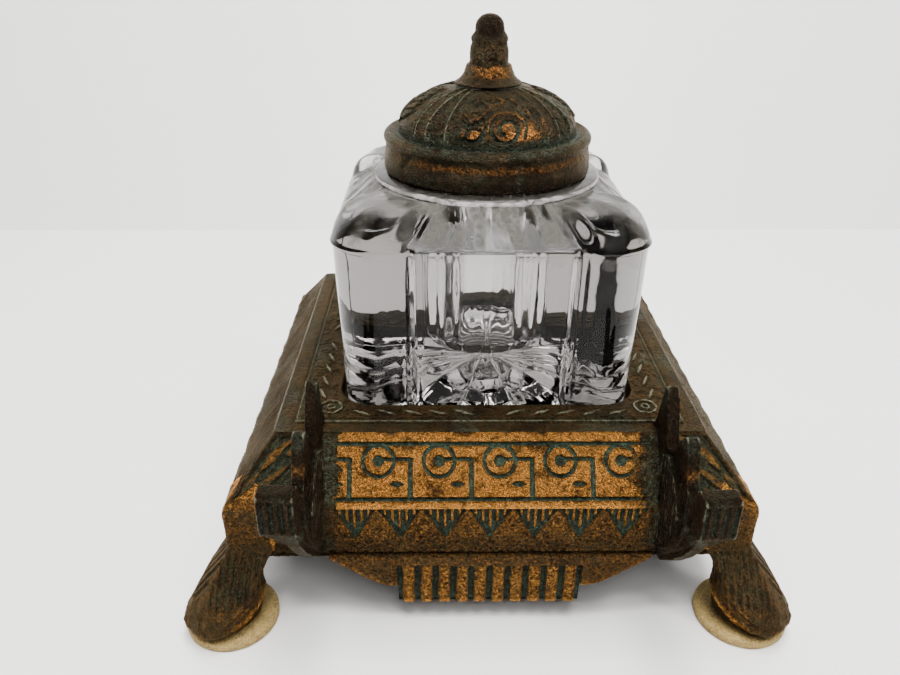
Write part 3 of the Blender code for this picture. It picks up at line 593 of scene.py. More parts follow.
def build_stand(material):
    """Whole casting as one closed skin: recess, plate, slopes, fascia, and the hollow below."""
    counts = (640, 360, 320, 360)
    side = np.concatenate([np.full(count, k) for k, count in enumerate(counts)])
    a = np.concatenate([np.linspace(-1, 1, count, endpoint=False) for count in counts])
    plate_u = np.where(side % 2 == 0, PLATE[0], PLATE[1])
    plate_out = np.where(side % 2 == 0, PLATE[1], PLATE[0])
    rows, heights, wear_and_highlight_rows, teals, films = [], [], [], [], []

    def emit(u, out, z, height=0.5, wear_and_highlight=0.1, teal=0.3, film=0.0):
        """Add a row of points given across, outward and up on each side."""
        rows.append(all_round(side, u, out, z))
        for store, value in ((heights, height), (wear_and_highlight_rows, wear_and_highlight), (teals, teal), (films, film)):
            store.append(np.broadcast_to(value, side.shape))

    opening_u = np.where(side % 2 == 0, OPENING[0], OPENING[1])
    opening_out = np.where(side % 2 == 0, OPENING[1], OPENING[0])
    inner_u, inner_out, nu, no = rounded_square(a, opening_u, opening_out, RECESS_CORNER)
    for share in (0.01, 0.3, 0.6, 0.85, 0.95, 0.99):
        emit(inner_u * share, inner_out * share, RECESS_Z)
    lip = 0.22
    rim_z = PLATE_Z + 0.35
    for z in np.linspace(RECESS_Z, rim_z - lip, 8):
        emit(inner_u, inner_out, z, 0.4, 0.05, 0.4)
    for angle in np.linspace(15, 90, 6):
        grow = lip * (1 - math.cos(math.radians(angle)))
        rise = lip * math.sin(math.radians(angle))
        emit(inner_u + nu * grow, inner_out + no * grow, rim_z - lip + rise, 0.6, 0.2, 0.3)

    # Plate, from the rounded opening out to the straight edge.
    edge_u, edge_out, _, _ = rounded_square(a, plate_u, plate_out, HIP_ROUND)
    for share in np.linspace(0.02, 0.985, 52):
        start_u, start_out = inner_u + nu * lip, inner_out + no * lip
        u = start_u + (edge_u - start_u) * share
        out = start_out + (edge_out - start_out) * share
        x, y, _ = all_round(side, u, out, PLATE_Z).T
        h, ridges, grooves, field = plate_relief(x, y)
        calm = 1 - ramp(share, 0.93, 0.985)
        h = h * ramp(share, 0.0, 0.05)
        raised = 0.35 * np.maximum(field, 1 - ramp(share, 0.0, 0.1))
        wear_and_highlight = 0.16 + 0.22 * ridges
        teal = 0.25 + 0.5 * grooves + 1.6 * ridges * (1 - grooves)
        film = 0.45 * ramp(noise(x, y, 5.0, 44), -0.1, 0.7) + 0.35 * ramp(share, 0.80, 0.99)
        emit(u, out, PLATE_Z + (h + raised) * calm, 0.62 + 0.9 * h, wear_and_highlight, teal, film)

    # Slopes and fascias, displaced along the profile's normal.
    slope = math.atan2(PLATE_Z - FOLD_Z, SLOPE_RUN)
    for kind, length, count in (("slope", SLOPE_LENGTH, 92), ("fascia", FOLD_Z - FASCIA_Z, 64)):
        for s in np.linspace(0, length, count, endpoint=False):
            if kind == "slope":
                run, z = s * math.cos(slope), PLATE_Z - s * math.sin(slope)
                normal = (math.sin(slope), math.cos(slope))
                turn = ramp(s, length - 0.9, length)
                normal = (normal[0] * (1 - turn) + turn, normal[1] * (1 - turn) + 0.35 * turn)
                normal = np.array(normal) / math.hypot(*normal)
            else:
                run, z = SLOPE_RUN, FOLD_Z - s
                turn = 1 - ramp(s, 0.0, 0.9)
                normal = np.array((1.0, 0.35 * turn)) / math.hypot(1.0, 0.35 * turn)
            u, out, du, dout = rounded_square(a, plate_u + run, plate_out + run, HIP_ROUND)
            h, wear_and_highlight, teal, film = (np.zeros_like(u) for _ in range(4))
            for k in range(4):
                on = side == k
                ss = np.full(on.sum(), s)
                h[on], wear_and_highlight[on], teal[on], film[on] = side_surface(kind, k, u[on], ss, plate_u[on][0] + run)
            calm = ramp(1 - np.abs(a), 0.0, 0.012)
            h = h * calm
            push = h * normal[0]
            height = np.clip(0.92 + 1.5 * h, 0, 1)
            emit(u + du * push, out + dout * push, z + h * normal[1], height, wear_and_highlight, teal, film)

    # Lower edge, inner wall, ceiling and the tray's underside.
    inside = SLOPE_RUN - WALL
    for run, z in ((SLOPE_RUN, FASCIA_Z + 0.3), (SLOPE_RUN - 0.3, FASCIA_Z), (inside + 0.3, FASCIA_Z),
                   (inside, FASCIA_Z + 0.3), (inside, 22.0), (inside, FOLD_Z - 0.7), (2.6, FOLD_Z + 4.1),
                   (-1.0, PLATE_Z - WALL)):
        u, out, _, _ = rounded_square(a, plate_u + run, plate_out + run, HIP_ROUND)
        emit(u, out, z, 0.45, 0.02, 0.5)
    tray_u, tray_out, _, _ = rounded_square(a, 31.3, 31.3, RECESS_CORNER)
    tray_z = RECESS_Z - 2.2
    for share, z in ((1.0, PLATE_Z - WALL), (1.0, RECESS_Z - 1.6),
                     (0.985, tray_z), (0.6, tray_z), (0.01, tray_z)):
        emit(tray_u * share, tray_out * share, z, 0.45, 0.02, 0.5)

    points = np.concatenate(rows)
    columns = len(a)
    quads = ring_quads(len(rows), columns)[:, ::-1].tolist()
    quads.append(list(range(columns)))
    quads.append(list(range(len(points) - columns, len(points)))[::-1])
    layers = {"height": heights, "wear_and_highlight": wear_and_highlight_rows, "teal": teals, "film": films}
    return make_piece("stand_casting", points, quads, material, "stand_body", ("stand",), layers,
                      60)


def loft(sections):
    """Points and faces of a closed body through rings of the same count, capped at both ends."""
    rings = np.asarray(sections, float)
    rows, cols = rings.shape[:2]
    faces = ring_quads(rows, cols).tolist()
    faces.append(list(range(cols))[::-1])
    faces.append(list(range((rows - 1) * cols, rows * cols)))
    return rings.reshape(-1, 3), faces


def side_frame(turn, across, out, z):
    """Points on one side of the stand, from distances across and outward."""
    c, s = round(math.cos(turn * math.pi / 2)), round(math.sin(turn * math.pi / 2))
    return np.stack([c * across + s * out, s * across - c * out, z + 0 * across], axis=-1)


# ---------------------------------------------------------------- aprons

OGEE_START = 30.0
OGEE_END = 20.3
OGEE_Z = FASCIA_Z - 7.1
APRON_TOP = FASCIA_Z + 0.7
SLOT_PITCH = 3.42
SLOT_TOP = FASCIA_Z - 1.9


def apron_edge(across):
    """Height of the apron's lower edge: shoulders, a rounded ogee and the square drop."""
    away = np.abs(across)
    line = OGEE_Z + (away - OGEE_END) / (OGEE_START - OGEE_END) * (FASCIA_Z - 0.3 - OGEE_Z)
    bend = 1.3
    rounded = OGEE_Z + np.logaddexp(0, (line - OGEE_Z) * 2 / bend) * bend / 2
    shoulder = np.minimum(rounded, FASCIA_Z - 0.3)
    return np.where(away < DROP_HALF, DROP_Z, shoulder)


def apron_relief(across, z, edge):
    """Stippled skirt with round-ended slots down the drop and a worn lip along the edge."""
    phase = (across + SLOT_PITCH / 2) % SLOT_PITCH - SLOT_PITCH / 2
    in_drop = np.abs(across) < DROP_HALF + 0.2
    wander = 0.12 * noise(z, across * 0 + np.round(across / SLOT_PITCH), 2.2, 81)
    narrow = np.hypot(phase + wander, np.maximum(z - (SLOT_TOP - 0.5), 0.0))
    slot = np.clip(1 - (narrow / 0.60) ** 2, 0, 1) ** 0.5 * in_drop
    reed = np.clip(1 - (np.abs(phase) - SLOT_PITCH / 2) ** 2 / 1.3 ** 2, 0, 1) ** 0.5
    below = ramp(SLOT_TOP + 0.3 - z, 0.0, 0.8) * in_drop
    h = -0.95 * slot - 0.18 * (1 - reed) * below
    h += stipple(across, z, 83, 0.13, 0.5) * (1 - slot)
    near_edge = bell(z, edge, 0.8)
    wear_and_highlight = 0.46 + 0.25 * near_edge + 0.16 * reed * below
    teal = 0.25 + 0.75 * slot
    return h, wear_and_highlight, teal, np.clip(0.9 + 1.3 * h, 0, 1)


def build_apron(turn, material):
    """Apron below one side's fascia."""
    half = FOLD[turn % 2]
    front = FOLD[(turn + 1) % 2] + APRON_PROUD
    end = 30.2 if turn == 0 else half - 9.3
    body = np.linspace(-DROP_HALF + 0.02, DROP_HALF - 0.02, 240)
    wing = np.linspace(DROP_HALF + 0.02, end, 70)
    across = np.concatenate([-wing[::-1], body, wing])
    edge = apron_edge(across)
    share = np.linspace(0, 1, 64)[None, :]
    z = APRON_TOP + (edge[:, None] + 0.35 - APRON_TOP) * share
    u = np.repeat(across[:, None], z.shape[1], axis=1)
    h, wear_and_highlight, teal, height = apron_relief(u, z, edge[:, None])
    fade = ramp(z, APRON_TOP - 0.6, APRON_TOP)
    face = [front + h - 0.35 * fade, z, height, wear_and_highlight, teal]
    for back, rise in ((0.35, 0.12), (0.9, 0.0), (2.2, 0.0), (2.9, 0.12), (3.1, 0.5)):
        out = front - back + h[:, -1] * (back < 0.5)
        column = [out, edge + rise, height[:, -1], wear_and_highlight[:, -1] - 0.2, teal[:, -1]]
        face = [np.concatenate([old, new[:, None]], axis=1) for old, new in zip(face, column)]
    column = (front - 3.1, APRON_TOP, 0.4, 0.05, 0.4)
    face = [np.concatenate([old, np.full((len(across), 1), new)], axis=1) for old, new in zip(face, column)]
    out, z, height, wear_and_highlight, teal = face
    u = np.repeat(across[:, None], out.shape[1], axis=1)
    points, faces = loft(side_frame(turn, u, out, z))
    layers = {"height": height, "wear_and_highlight": wear_and_highlight * (1.0 if turn == 0 else 0.75), "teal": teal}
    name = ("apron_front", "apron_right", "apron_back", "apron_left")[turn]
    faces = turned_out(faces, False)
    return make_piece(name, points, faces, material, "stand_body", (), layers, 70)


# ---------------------------------------------------------------- cast lumps made by fusing bodies

def fuse(name, bodies, voxel, smoothing):
    """One skin round overlapping closed bodies, in millimetres: its points, normals and faces."""
    points, faces = [], []
    for body_points, body_faces in bodies:
        first = sum(len(p) for p in points)
        points.append(np.asarray(body_points, float))
        faces += [[first + i for i in face] for face in body_faces]
    mesh = bpy.data.meshes.new(name)
    mesh.from_pydata(np.concatenate(points).tolist(), [], faces)
    rough_body = bpy.data.objects.new(name, mesh)
    bpy.context.scene.collection.objects.link(rough_body)
    remesh = rough_body.modifiers.new("fuse", "REMESH")
    remesh.mode = "VOXEL"
    remesh.voxel_size = voxel
    relax = rough_body.modifiers.new("relax", "SMOOTH")
    relax.factor = 0.5
    relax.iterations = smoothing
    evaluated = rough_body.evaluated_get(bpy.context.evaluated_depsgraph_get())
    skin = bpy.data.meshes.new_from_object(evaluated)
    bpy.data.objects.remove(rough_body)
    bpy.data.meshes.remove(mesh)
    count = len(skin.vertices)
    place, normal = np.zeros(count * 3, np.float32), np.zeros(count * 3, np.float32)
    skin.vertices.foreach_get("co", place)
    skin.vertex_normals.foreach_get("vector", normal)
    polygons = [list(polygon.vertices) for polygon in skin.polygons]
    bpy.data.meshes.remove(skin)
    return place.reshape(-1, 3).astype(float), normal.reshape(-1, 3).astype(float), polygons


def edge_wear(points, normals, faces):
    """How sharply each point of a fused skin stands out, from about -1 in a crease to 1 on an edge."""
    quads = np.array([face for face in faces if len(face) == 4])
    first = np.concatenate([quads[:, k] for k in range(4)])
    second = np.concatenate([quads[:, (k + 1) % 4] for k in range(4)])
    first, second = np.concatenate([first, second]), np.concatenate([second, first])
    count = np.maximum(np.bincount(first, minlength=len(points)), 1)
    lean = ((points[first] - points[second]) * normals[first]).sum(axis=1)
    bend = np.bincount(first, lean, minlength=len(points)) / count
    for _ in range(5):
        bend = 0.4 * bend + 0.6 * np.bincount(first, bend[second], minlength=len(points)) / count
    return np.clip(bend / 0.022, -1, 1)


def prism(outline, low, high, place):
    """Closed body from an outline in (forward, z), between two distances outward of the rack's face."""
    near = [place(low, forward, z) for forward, z in outline]
    far = [place(high, forward, z) for forward, z in outline]
    count = len(outline)
    bm = bmesh.new()
    verts = [bm.verts.new(p) for p in near + far]
    for i in range(count):
        j = (i + 1) % count
        bm.faces.new((verts[i], verts[j], verts[count + j], verts[count + i]))
    caps = [bm.faces.new(verts[:count][::-1]), bm.faces.new(verts[count:])]
    bmesh.ops.triangulate(bm, faces=caps)
    bmesh.ops.recalc_face_normals(bm, faces=bm.faces)
    bm.verts.index_update()
    points = [tuple(v.co) for v in bm.verts]
    faces = [[v.index for v in face.verts] for face in bm.faces]
    bm.free()
    return points, faces


def rod(path, radius):
    """Closed round rod through points, in millimetres."""
    path = np.asarray(path, float)
    radii = np.broadcast_to(radius, (len(path),))
    tangent = np.gradient(path, axis=0)
    tangent /= np.linalg.norm(tangent, axis=1)[:, None]
    helper = np.array([0.0, 0.0, 1.0]) if abs(tangent[0][2]) < 0.9 else np.array([1.0, 0.0, 0.0])
    first = np.cross(tangent, helper)
    first /= np.linalg.norm(first, axis=1)[:, None]
    second = np.cross(tangent, first)
    angle = even_angles(10)
    rings = [p + r * (np.outer(np.cos(angle), a) + np.outer(np.sin(angle), b))
             for p, r, a, b in zip(path, radii, first, second)]
    return loft(rings)


def arc_points(center, radius, start, end, count):
    """Points along an arc, angles in degrees."""
    angles = np.radians(np.linspace(start, end, count))
    return [(center[0] + radius * math.cos(t), center[1] + radius * math.sin(t)) for t in angles]


# ---------------------------------------------------------------- pen racks

RACK_X = 30.9
RACK_THICKNESS = 2.2
RACK_SPLAY = math.radians(3.5)
RACK_BLOCK = 6.4
RACK_REED_PITCH = 1.45
BLOCK_FLUTE_PITCH = 1.62
FUSE_VOXEL = 0.22


def rack_place(side, lift):
    """Placing function for one rack: outward of its inner face, forward and up."""
    c, s = math.cos(RACK_SPLAY), math.sin(RACK_SPLAY)

    def place(outward, forward, z):
        reach = forward - PLATE[1]
        x = RACK_X + outward * c + reach * s
        y = -(PLATE[1] + reach * c - outward * s)
        return (side * x, y, z + lift)
    return place


def build_rack(name, side, lift, material):
    """Stepped pen rack: plate with spike and prong, reeded inner face, rim, corbel and fluted block."""
    place = rack_place(side, lift)
    outline = [(32.6, 38.8), (35.0, 39.7), (37.4, 48.7), (37.9, 49.4), (38.5, 49.3), (38.9, 48.7),
               (41.6, 42.4)]
    outline += arc_points((43.9, 42.6), 2.3, 185, 300, 8)[1:]
    outline += [(48.7, 45.9), (49.3, 46.4), (50.0, 46.4), (50.5, 45.9), (52.6, 40.2)]
    outline += arc_points((54.9, 40.4), 2.3, 185, 325, 9)[1:]
    outline += [(57.8, 41.6), (60.4, 42.0), (60.6, 34.4), (58.8, 30.0), (55.8, 25.8), (52.0, 21.4)]
    outline += [(47.2, 16.9), (45.2, 16.7), (45.2, 28.0), (36.0, 38.8)]
    block = [(57.4, 33.6), (57.4, 41.6), (58.2, 42.3), (60.6, 42.3), (61.35, 41.7), (61.5, 34.9),
             (60.9, 34.0)]
    bodies = [prism(outline, 0.05, RACK_THICKNESS, place), prism(block, -0.2, RACK_BLOCK - 0.5, place)]
    for z, thick in ((41.6, 0.62), (35.0, 0.5)):
        bodies.append(rod([place(w, 60.9, z) for w in (-0.1, 2.0, 4.0, RACK_BLOCK - 0.7)], thick))
    # Corbel: a soffit as wide as the block at its head that narrows towards the plate's root.
    sections = []
    for t in np.linspace(0, 1, 14):
        forward, z = 60.6 - 14.6 * t ** 1.15, 34.6 - 17.4 * t
        width = (RACK_BLOCK - 0.5) * (1 - t) ** 1.3 + 2.9 * (1 - (1 - t) ** 1.3)
        corners = ((-0.25, 0.0), (width, 0.0), (width, 1.1), (-0.25, 1.1))
        sections.append([place(out, forward - deep, z + deep) for out, deep in corners])
    points, faces = loft(sections)
    bodies.append((points, turned_out(faces, side < 0)))
    # Raised reeded panel on the inner face, and the rim that frames it.
    panel = [(43.4, 38.6), (46.0, 39.9), (50.4, 37.2), (53.6, 32.6), (53.9, 28.4), (51.2, 23.6), (47.4, 20.4)]
    bodies.append(prism(panel + [(43.4, 20.2)], -0.95, 0.4, place))
    rim = [(47.0, 19.6), (50.0, 22.0), (52.6, 25.4), (54.8, 29.2), (56.2, 33.2), (56.5, 36.4), (55.6, 38.2)]
    thick = [0.45, 0.6, 0.7, 0.75, 0.75, 0.65, 0.4]
    bodies.append(rod([place(0.0, forward, z) for forward, z in rim], thick))
    spine = [(41.9, 40.6), (43.8, 39.6), (46.2, 41.2), (48.8, 45.2)]
    bodies.append(rod([place(0.15, forward, z) for forward, z in spine], 0.42))
    points, normals, faces = fuse(name, bodies, FUSE_VOXEL, 2)

    reach = side * points[:, 0] - RACK_X
    forward = -points[:, 1] - PLATE[1]
    z = points[:, 2] - lift
    c, s = math.cos(RACK_SPLAY), math.sin(RACK_SPLAY)
    outward = reach * c - forward * s
    ahead = PLATE[1] + forward * c + reach * s
    inner = ramp(-side * normals[:, 0], 0.75, 0.93) * (outward < 0.6)
    rim_forward = np.interp(z, [p[1] for p in rim], [p[0] for p in rim])
    reeded = inner * band(z, 20.6, 38.6, 0.5) * ramp(rim_forward - ahead, 0.9, 1.6) * (ahead > 43)
    groove = np.clip(wave(ahead + 0.10 * (z - 30), RACK_REED_PITCH), 0, 1) ** 0.9
    face_on = ramp(-normals[:, 1], 0.6, 0.85) * (ahead > 60.0) * band(z, 35.2, 40.9, 0.5)
    flutes = np.clip(wave(outward - 0.3, BLOCK_FLUTE_PITCH), 0, 1) ** 0.9
    h = -0.60 * groove * reeded - 0.55 * flutes * face_on + 0.07 * rough(ahead + outward, z, 1.5, 93)
    edge = edge_wear(points, normals, faces)
    points = points + normals * h[:, None]
    ribs = reeded * (1 - groove)
    prong_foot = np.exp(-(((ahead - 52.6) / 1.6) ** 2 + ((z - 40.6) / 1.5) ** 2))
    wear_and_highlight = 0.10 + 0.50 * prong_foot + 0.06 * ramp(z, 45.0, 49.0) + 0.16 * np.clip(edge, 0, 1)
    wear_and_highlight += 0.22 * bell(z, 42.2, 0.5) * (ahead > 58) + 0.22 * ribs
    wear_and_highlight -= 0.22 * (ahead > 57.0) * (1 - np.clip(edge, 0, 1))
    teal = 0.35 + 0.4 * flutes * face_on + 0.4 * groove * reeded + 0.25 * ramp(-normals[:, 2], 0.2, 0.7)
    teal += 1.5 * np.clip(edge - 0.2, 0, 1) + 1.0 * ribs * ramp(noise(ahead, z, 1.4, 95), -0.3, 0.5)
    height = np.where(normals[:, 2] < -0.3, 0.45, np.clip(0.75 + 1.2 * h, 0, 1))
    film = 0.5 * ramp(noise(ahead + outward, z, 3.2, 97), 0.05, 0.7) + 0.4 * face_on * flutes
    layers = {"height": height, "wear_and_highlight": wear_and_highlight, "teal": teal, "film": film}
    return make_piece(name + "_casting", points, faces, material, "stand_body", (name,), layers)


# ---------------------------------------------------------------- feet

FOOT_TOP = 19.0
FOOT_LEAN = (0.9, -1.2)
TAB_LIMIT = 8.6
TAB_SPRING = 24.0
TAB_APEX = (3.3, 30.9)
TAB_DIP = 28.4
TAB_FOOT = 16.75
FOOT_FLUTE_PITCH = 1.32


def surface_out(z):
    """Where the stand's side is at a height, outward of the fold, so 0 or less."""
    return np.where(z > FOLD_Z, -(z - FOLD_Z) * SLOPE_RUN / (PLATE_Z - FOLD_Z), 0.0)


def tab_reach(z):
    """How far a lancet reaches from the corner at a height."""
    t = np.clip((z - TAB_SPRING) / (TAB_APEX[1] - TAB_SPRING), 0, 1)
    return TAB_LIMIT + (TAB_APEX[0] - TAB_LIMIT) * t ** 1.75


def tab_bodies(side_x, side_y):
    """Lancet on each face of a corner, a little proud of the casting."""
    bodies = []
    for along_x in (True, False):
        sections = []
        for z in np.linspace(TAB_FOOT, TAB_APEX[1], 56):
            t = np.clip((z - TAB_DIP) / (TAB_APEX[1] - TAB_DIP), 0, 1)
            near = 0.15 + (TAB_APEX[0] - 0.15) * t ** 0.6
            near, far = min(near, tab_reach(z) - 0.25), tab_reach(z) + 0.05
            corners = []
            for along, out in ((near, 0.12), (far - 0.25, 0.12), (far, -0.08), (far, -1.2), (near, -1.2)):
                x, y = (-along, out) if along_x else (out, -along)
                inset = surface_out(z)
                corners.append((side_x * (FOLD[0] + inset + x), side_y * (FOLD[1] + inset + y), z))
            sections.append(corners)
        points, faces = loft(sections)
        bodies.append((points, turned_out(faces, (side_x * side_y > 0) == along_x)))
    corner = [[(side_x * (FOLD[0] + surface_out(z) + a), side_y * (FOLD[1] + surface_out(z) + b), z)
               for a, b in ((0.28, -1.4), (0.28, -0.1), (0.1, 0.2), (-0.1, 0.28), (-1.4, 0.28), (-1.4, -1.4))]
              for z in np.linspace(TAB_FOOT, TAB_DIP, 8)]
    points, faces = loft(corner)
    bodies.append((points, turned_out(faces, side_x * side_y > 0)))
    return bodies


def foot_body(side_x, side_y):
    """Slipper that leaves the corner flush with its tab and flares out along the diagonal."""
    base = PAD_TOP + 0.25
    # Height, how far out, sideways and back each section reaches, and how square its front is.
    rows = ((base, 8.6, 5.5, -4.6, 0.9), (base + 0.5, 9.2, 6.1, -4.9, 0.88),
            (base + 1.4, 9.5, 6.4, -5.0, 0.86), (5.0, 9.3, 6.5, -5.0, 0.86), (6.6, 8.5, 6.5, -5.1, 0.88),
            (8.4, 7.3, 6.4, -5.3, 0.92), (11.0, 5.4, 6.3, -5.7, 1.05), (14.0, 3.2, 6.2, -6.2, 1.25),
            (17.0, 1.1, 6.2, -7.6, 1.6), (FOOT_TOP, 0.0, 6.1, -9.4, 1.9))
    table = np.array(rows)
    heights = np.linspace(base, FOOT_TOP, 60)
    columns = [np.interp(heights, table[:, 0], table[:, k]) for k in (1, 2, 3, 4)]
    kernel = np.array([1, 2, 3, 2, 1]) / 9
    columns = [np.concatenate([v[:2], np.convolve(v, kernel, "valid"), v[-2:]]) for v in columns]
    angle = even_angles(72)
    sections = []
    for z, front, half, back, power in zip(heights, *columns):
        middle = (front + back) / 2 if power < 1.2 else front - half * (0.6 + 0.2 * power)
        forward = np.where(np.cos(angle) > 0, front - middle, middle - back)
        out = middle + forward * np.sign(np.cos(angle)) * np.abs(np.cos(angle)) ** power
        along = half * np.sign(np.sin(angle)) * np.abs(np.sin(angle)) ** power
        lean = 1 - z / FOOT_TOP
        x = FOLD[0] + (out - along) / math.sqrt(2) + FOOT_LEAN[0] * lean
        y = FOLD[1] + (out + along) / math.sqrt(2) + FOOT_LEAN[1] * lean
        sections.append(np.stack([side_x * x, side_y * y, np.full_like(x, z)], axis=-1))
    points, faces = loft(sections)
    return points, turned_out(faces, side_x * side_y > 0)


def build_leg(name, side_x, side_y, material):
    """Corner foot: lancet tabs, fluted instep and a stippled toe with a raised welt."""
    bodies = tab_bodies(side_x, side_y) + [foot_body(side_x, side_y)]
    points, normals, faces = fuse(name, bodies, FUSE_VOXEL + 0.02, 2)
    z = points[:, 2]
    lean = 1 - z / FOOT_TOP
    dx = side_x * points[:, 0] - FOLD[0] - FOOT_LEAN[0] * lean
    dy = side_y * points[:, 1] - FOLD[1] - FOOT_LEAN[1] * lean
    out, along = (dx + dy) / math.sqrt(2), (dy - dx) / math.sqrt(2)
    turn = np.arctan2(along, out + 3.5)
    flank = (np.abs(turn) < 2.0) * (z < 18.6)
    low = 7.6 + 1.6 * np.abs(turn)
    zone = ramp(z, low, low + 1.0) * (1 - ramp(z, 17.4, 18.4)) * flank
    facing_x = np.abs(normals[:, 0]) > np.abs(normals[:, 1])
    across = np.where(facing_x, dy, dx) + 0.05 * (z - 12)
    groove = np.clip(0.15 + wave(across, FOOT_FLUTE_PITCH), 0, 1) ** 0.8
    zone = zone * ramp(np.abs(np.abs(normals[:, 0]) - np.abs(normals[:, 1])), 0.08, 0.35)
    welt_z = 3.9 + 4.8 * ramp(np.abs(turn), 0.35, 1.9)
    welt = bell(z, welt_z, 0.8) * (z < 12) * (np.abs(turn) < 2.4)
    patches = ramp(noise(along, z + dx, 2.6, 103), -0.3, 0.5)
    below = ramp(welt_z - z, 0.5, 1.3) * (z < 10)
    grain = noise(along * 1.7, z * 1.7 + out, 1.0, 101) * 0.6 + noise(dx * 1.9, dy * 1.9 + z, 0.8, 102) * 0.5
    toe = (1 - ramp(z, low - 0.2, low + 0.8)) * (1 - below)
    tab = ramp(z, 17.2, 18.2)
    from_x = FOLD[0] + surface_out(z) - side_x * points[:, 0]
    from_y = FOLD[1] + surface_out(z) - side_y * points[:, 1]
    rim = highest(*(band(tab_reach(z) - far, -0.3, 0.75, 0.25) * (z > 18) for far in (from_x, from_y)))
    h = -0.50 * groove * zone + 0.35 * welt - 0.22 * below + 0.24 * grain * toe
    h += 0.13 * grain * tab + 0.10 * rim
    edge = edge_wear(points, normals, faces)
    points = points + normals * h[:, None]
    points[:, 2] = np.maximum(points[:, 2], PAD_TOP + 0.05)
    front = side_y < 0
    wear_and_highlight = 0.38 + 0.08 * tab + 0.26 * rim * front + 0.26 * welt * patches + 0.06 * (1 - groove) * zone
    # Toward a front tab's apex the gold rises: partly wear, partly a painted highlight at the apex.
    wear_and_highlight += 0.24 * tab * ramp(z, 26.5, 30.5) * front + 0.2 * toe * ramp(grain, 0.05, 0.5) - 0.20 * below
    wear_and_highlight += 0.12 * np.clip(edge, -1, 1) - 0.22 * toe * ramp(out, 3.0, 8.0) - 0.25 * band(z, 17.6, 19.4, 0.5)
    wear_and_highlight -= 0.16 * zone
    teal = 0.15 + 0.5 * groove * zone + 0.3 * (1 - rim) * tab
    layers = {"height": np.clip(0.86 + 1.3 * h, 0, 1), "wear_and_highlight": wear_and_highlight * (1.0 if front else 0.7), "teal": teal}
    return make_piece(name + "_casting", points, faces, material, "stand_body", (name,), layers)


def build_pad(name, material, seed):
    """Round felt pad with soft, slightly fuzzy edges."""
    low, high = node_box(name)
    center = (low + high) / 2
    radius, thick = (high[0] - low[0]) / 2, high[2] - low[2]
    profile = [(0.02, 0.0), (0.5, 0.0), (0.9, 0.0), (0.965, 0.03), (0.99, 0.12), (1.0, 0.3), (1.0, 0.5),
               (0.998, 0.7), (0.985, 0.88), (0.96, 0.97), (0.92, 1.0), (0.8, 1.0), (0.6, 0.995), (0.3, 0.99),
               (0.02, 0.985)]
    angle = even_angles(180)
    sections = []
    for share, rise in profile:
        ripple = 0.10 * rough(angle * radius, angle * 0 + rise * 4, 1.6, seed) * min(1.0, share * 2)
        edge = 0.9 * (share > 0.95)
        r = radius * share - 0.12 * edge + ripple * edge
        lift = 0.06 * rough(np.cos(angle) * r, np.sin(angle) * r, 1.2, seed + 5) * (rise > 0.88)
        height = np.clip(low[2] + thick * rise + lift - 0.03 * (rise > 0.9), low[2], high[2])
        x, y = center[0] + r * np.cos(angle), center[1] + r * np.sin(angle)
        sections.append(np.stack([x, y, height], axis=-1))
    points, faces = loft(sections)
    piece = make_piece(name + "_felt", points, faces, material, "stand_body", (name,), {})
    return piece


# ---------------------------------------------------------------- glass bottle

BASE_HALF = 28.1
SHOULDER_HALF = 29.6
SHOULDER_Z = BOTTLE_LOW[2] + 34.4
COLUMN_RADIUS = 9.0
BASE_CORNER = 6.8
PANEL_HALF = 14.9
COLLAR_RADIUS = 22.5
COLLAR_Z = BOTTLE_LOW[2] + 40.6
NECK_RADIUS = 17.2
WELL_RADIUS = 12.6
WELL_FLOOR = BOTTLE_LOW[2] + 7.5
WELL_BEND = 5.0
MOUTH_RADIUS = 13.4


def bottle_outline(a, half, corner, groove):
    """One side of the bottle's plan, with a flat panel, a groove each side of it and round corners."""
    u, out, nu, no = rounded_square(a, half, half, corner)
    away = np.abs(u) - PANEL_HALF
    cut = groove * (bell(away, 0.0, 0.55) - 0.35 * bell(away, -1.3, 0.6) + 0.25 * bell(away, 1.4, 0.6))
    return u - nu * cut, out - no * cut


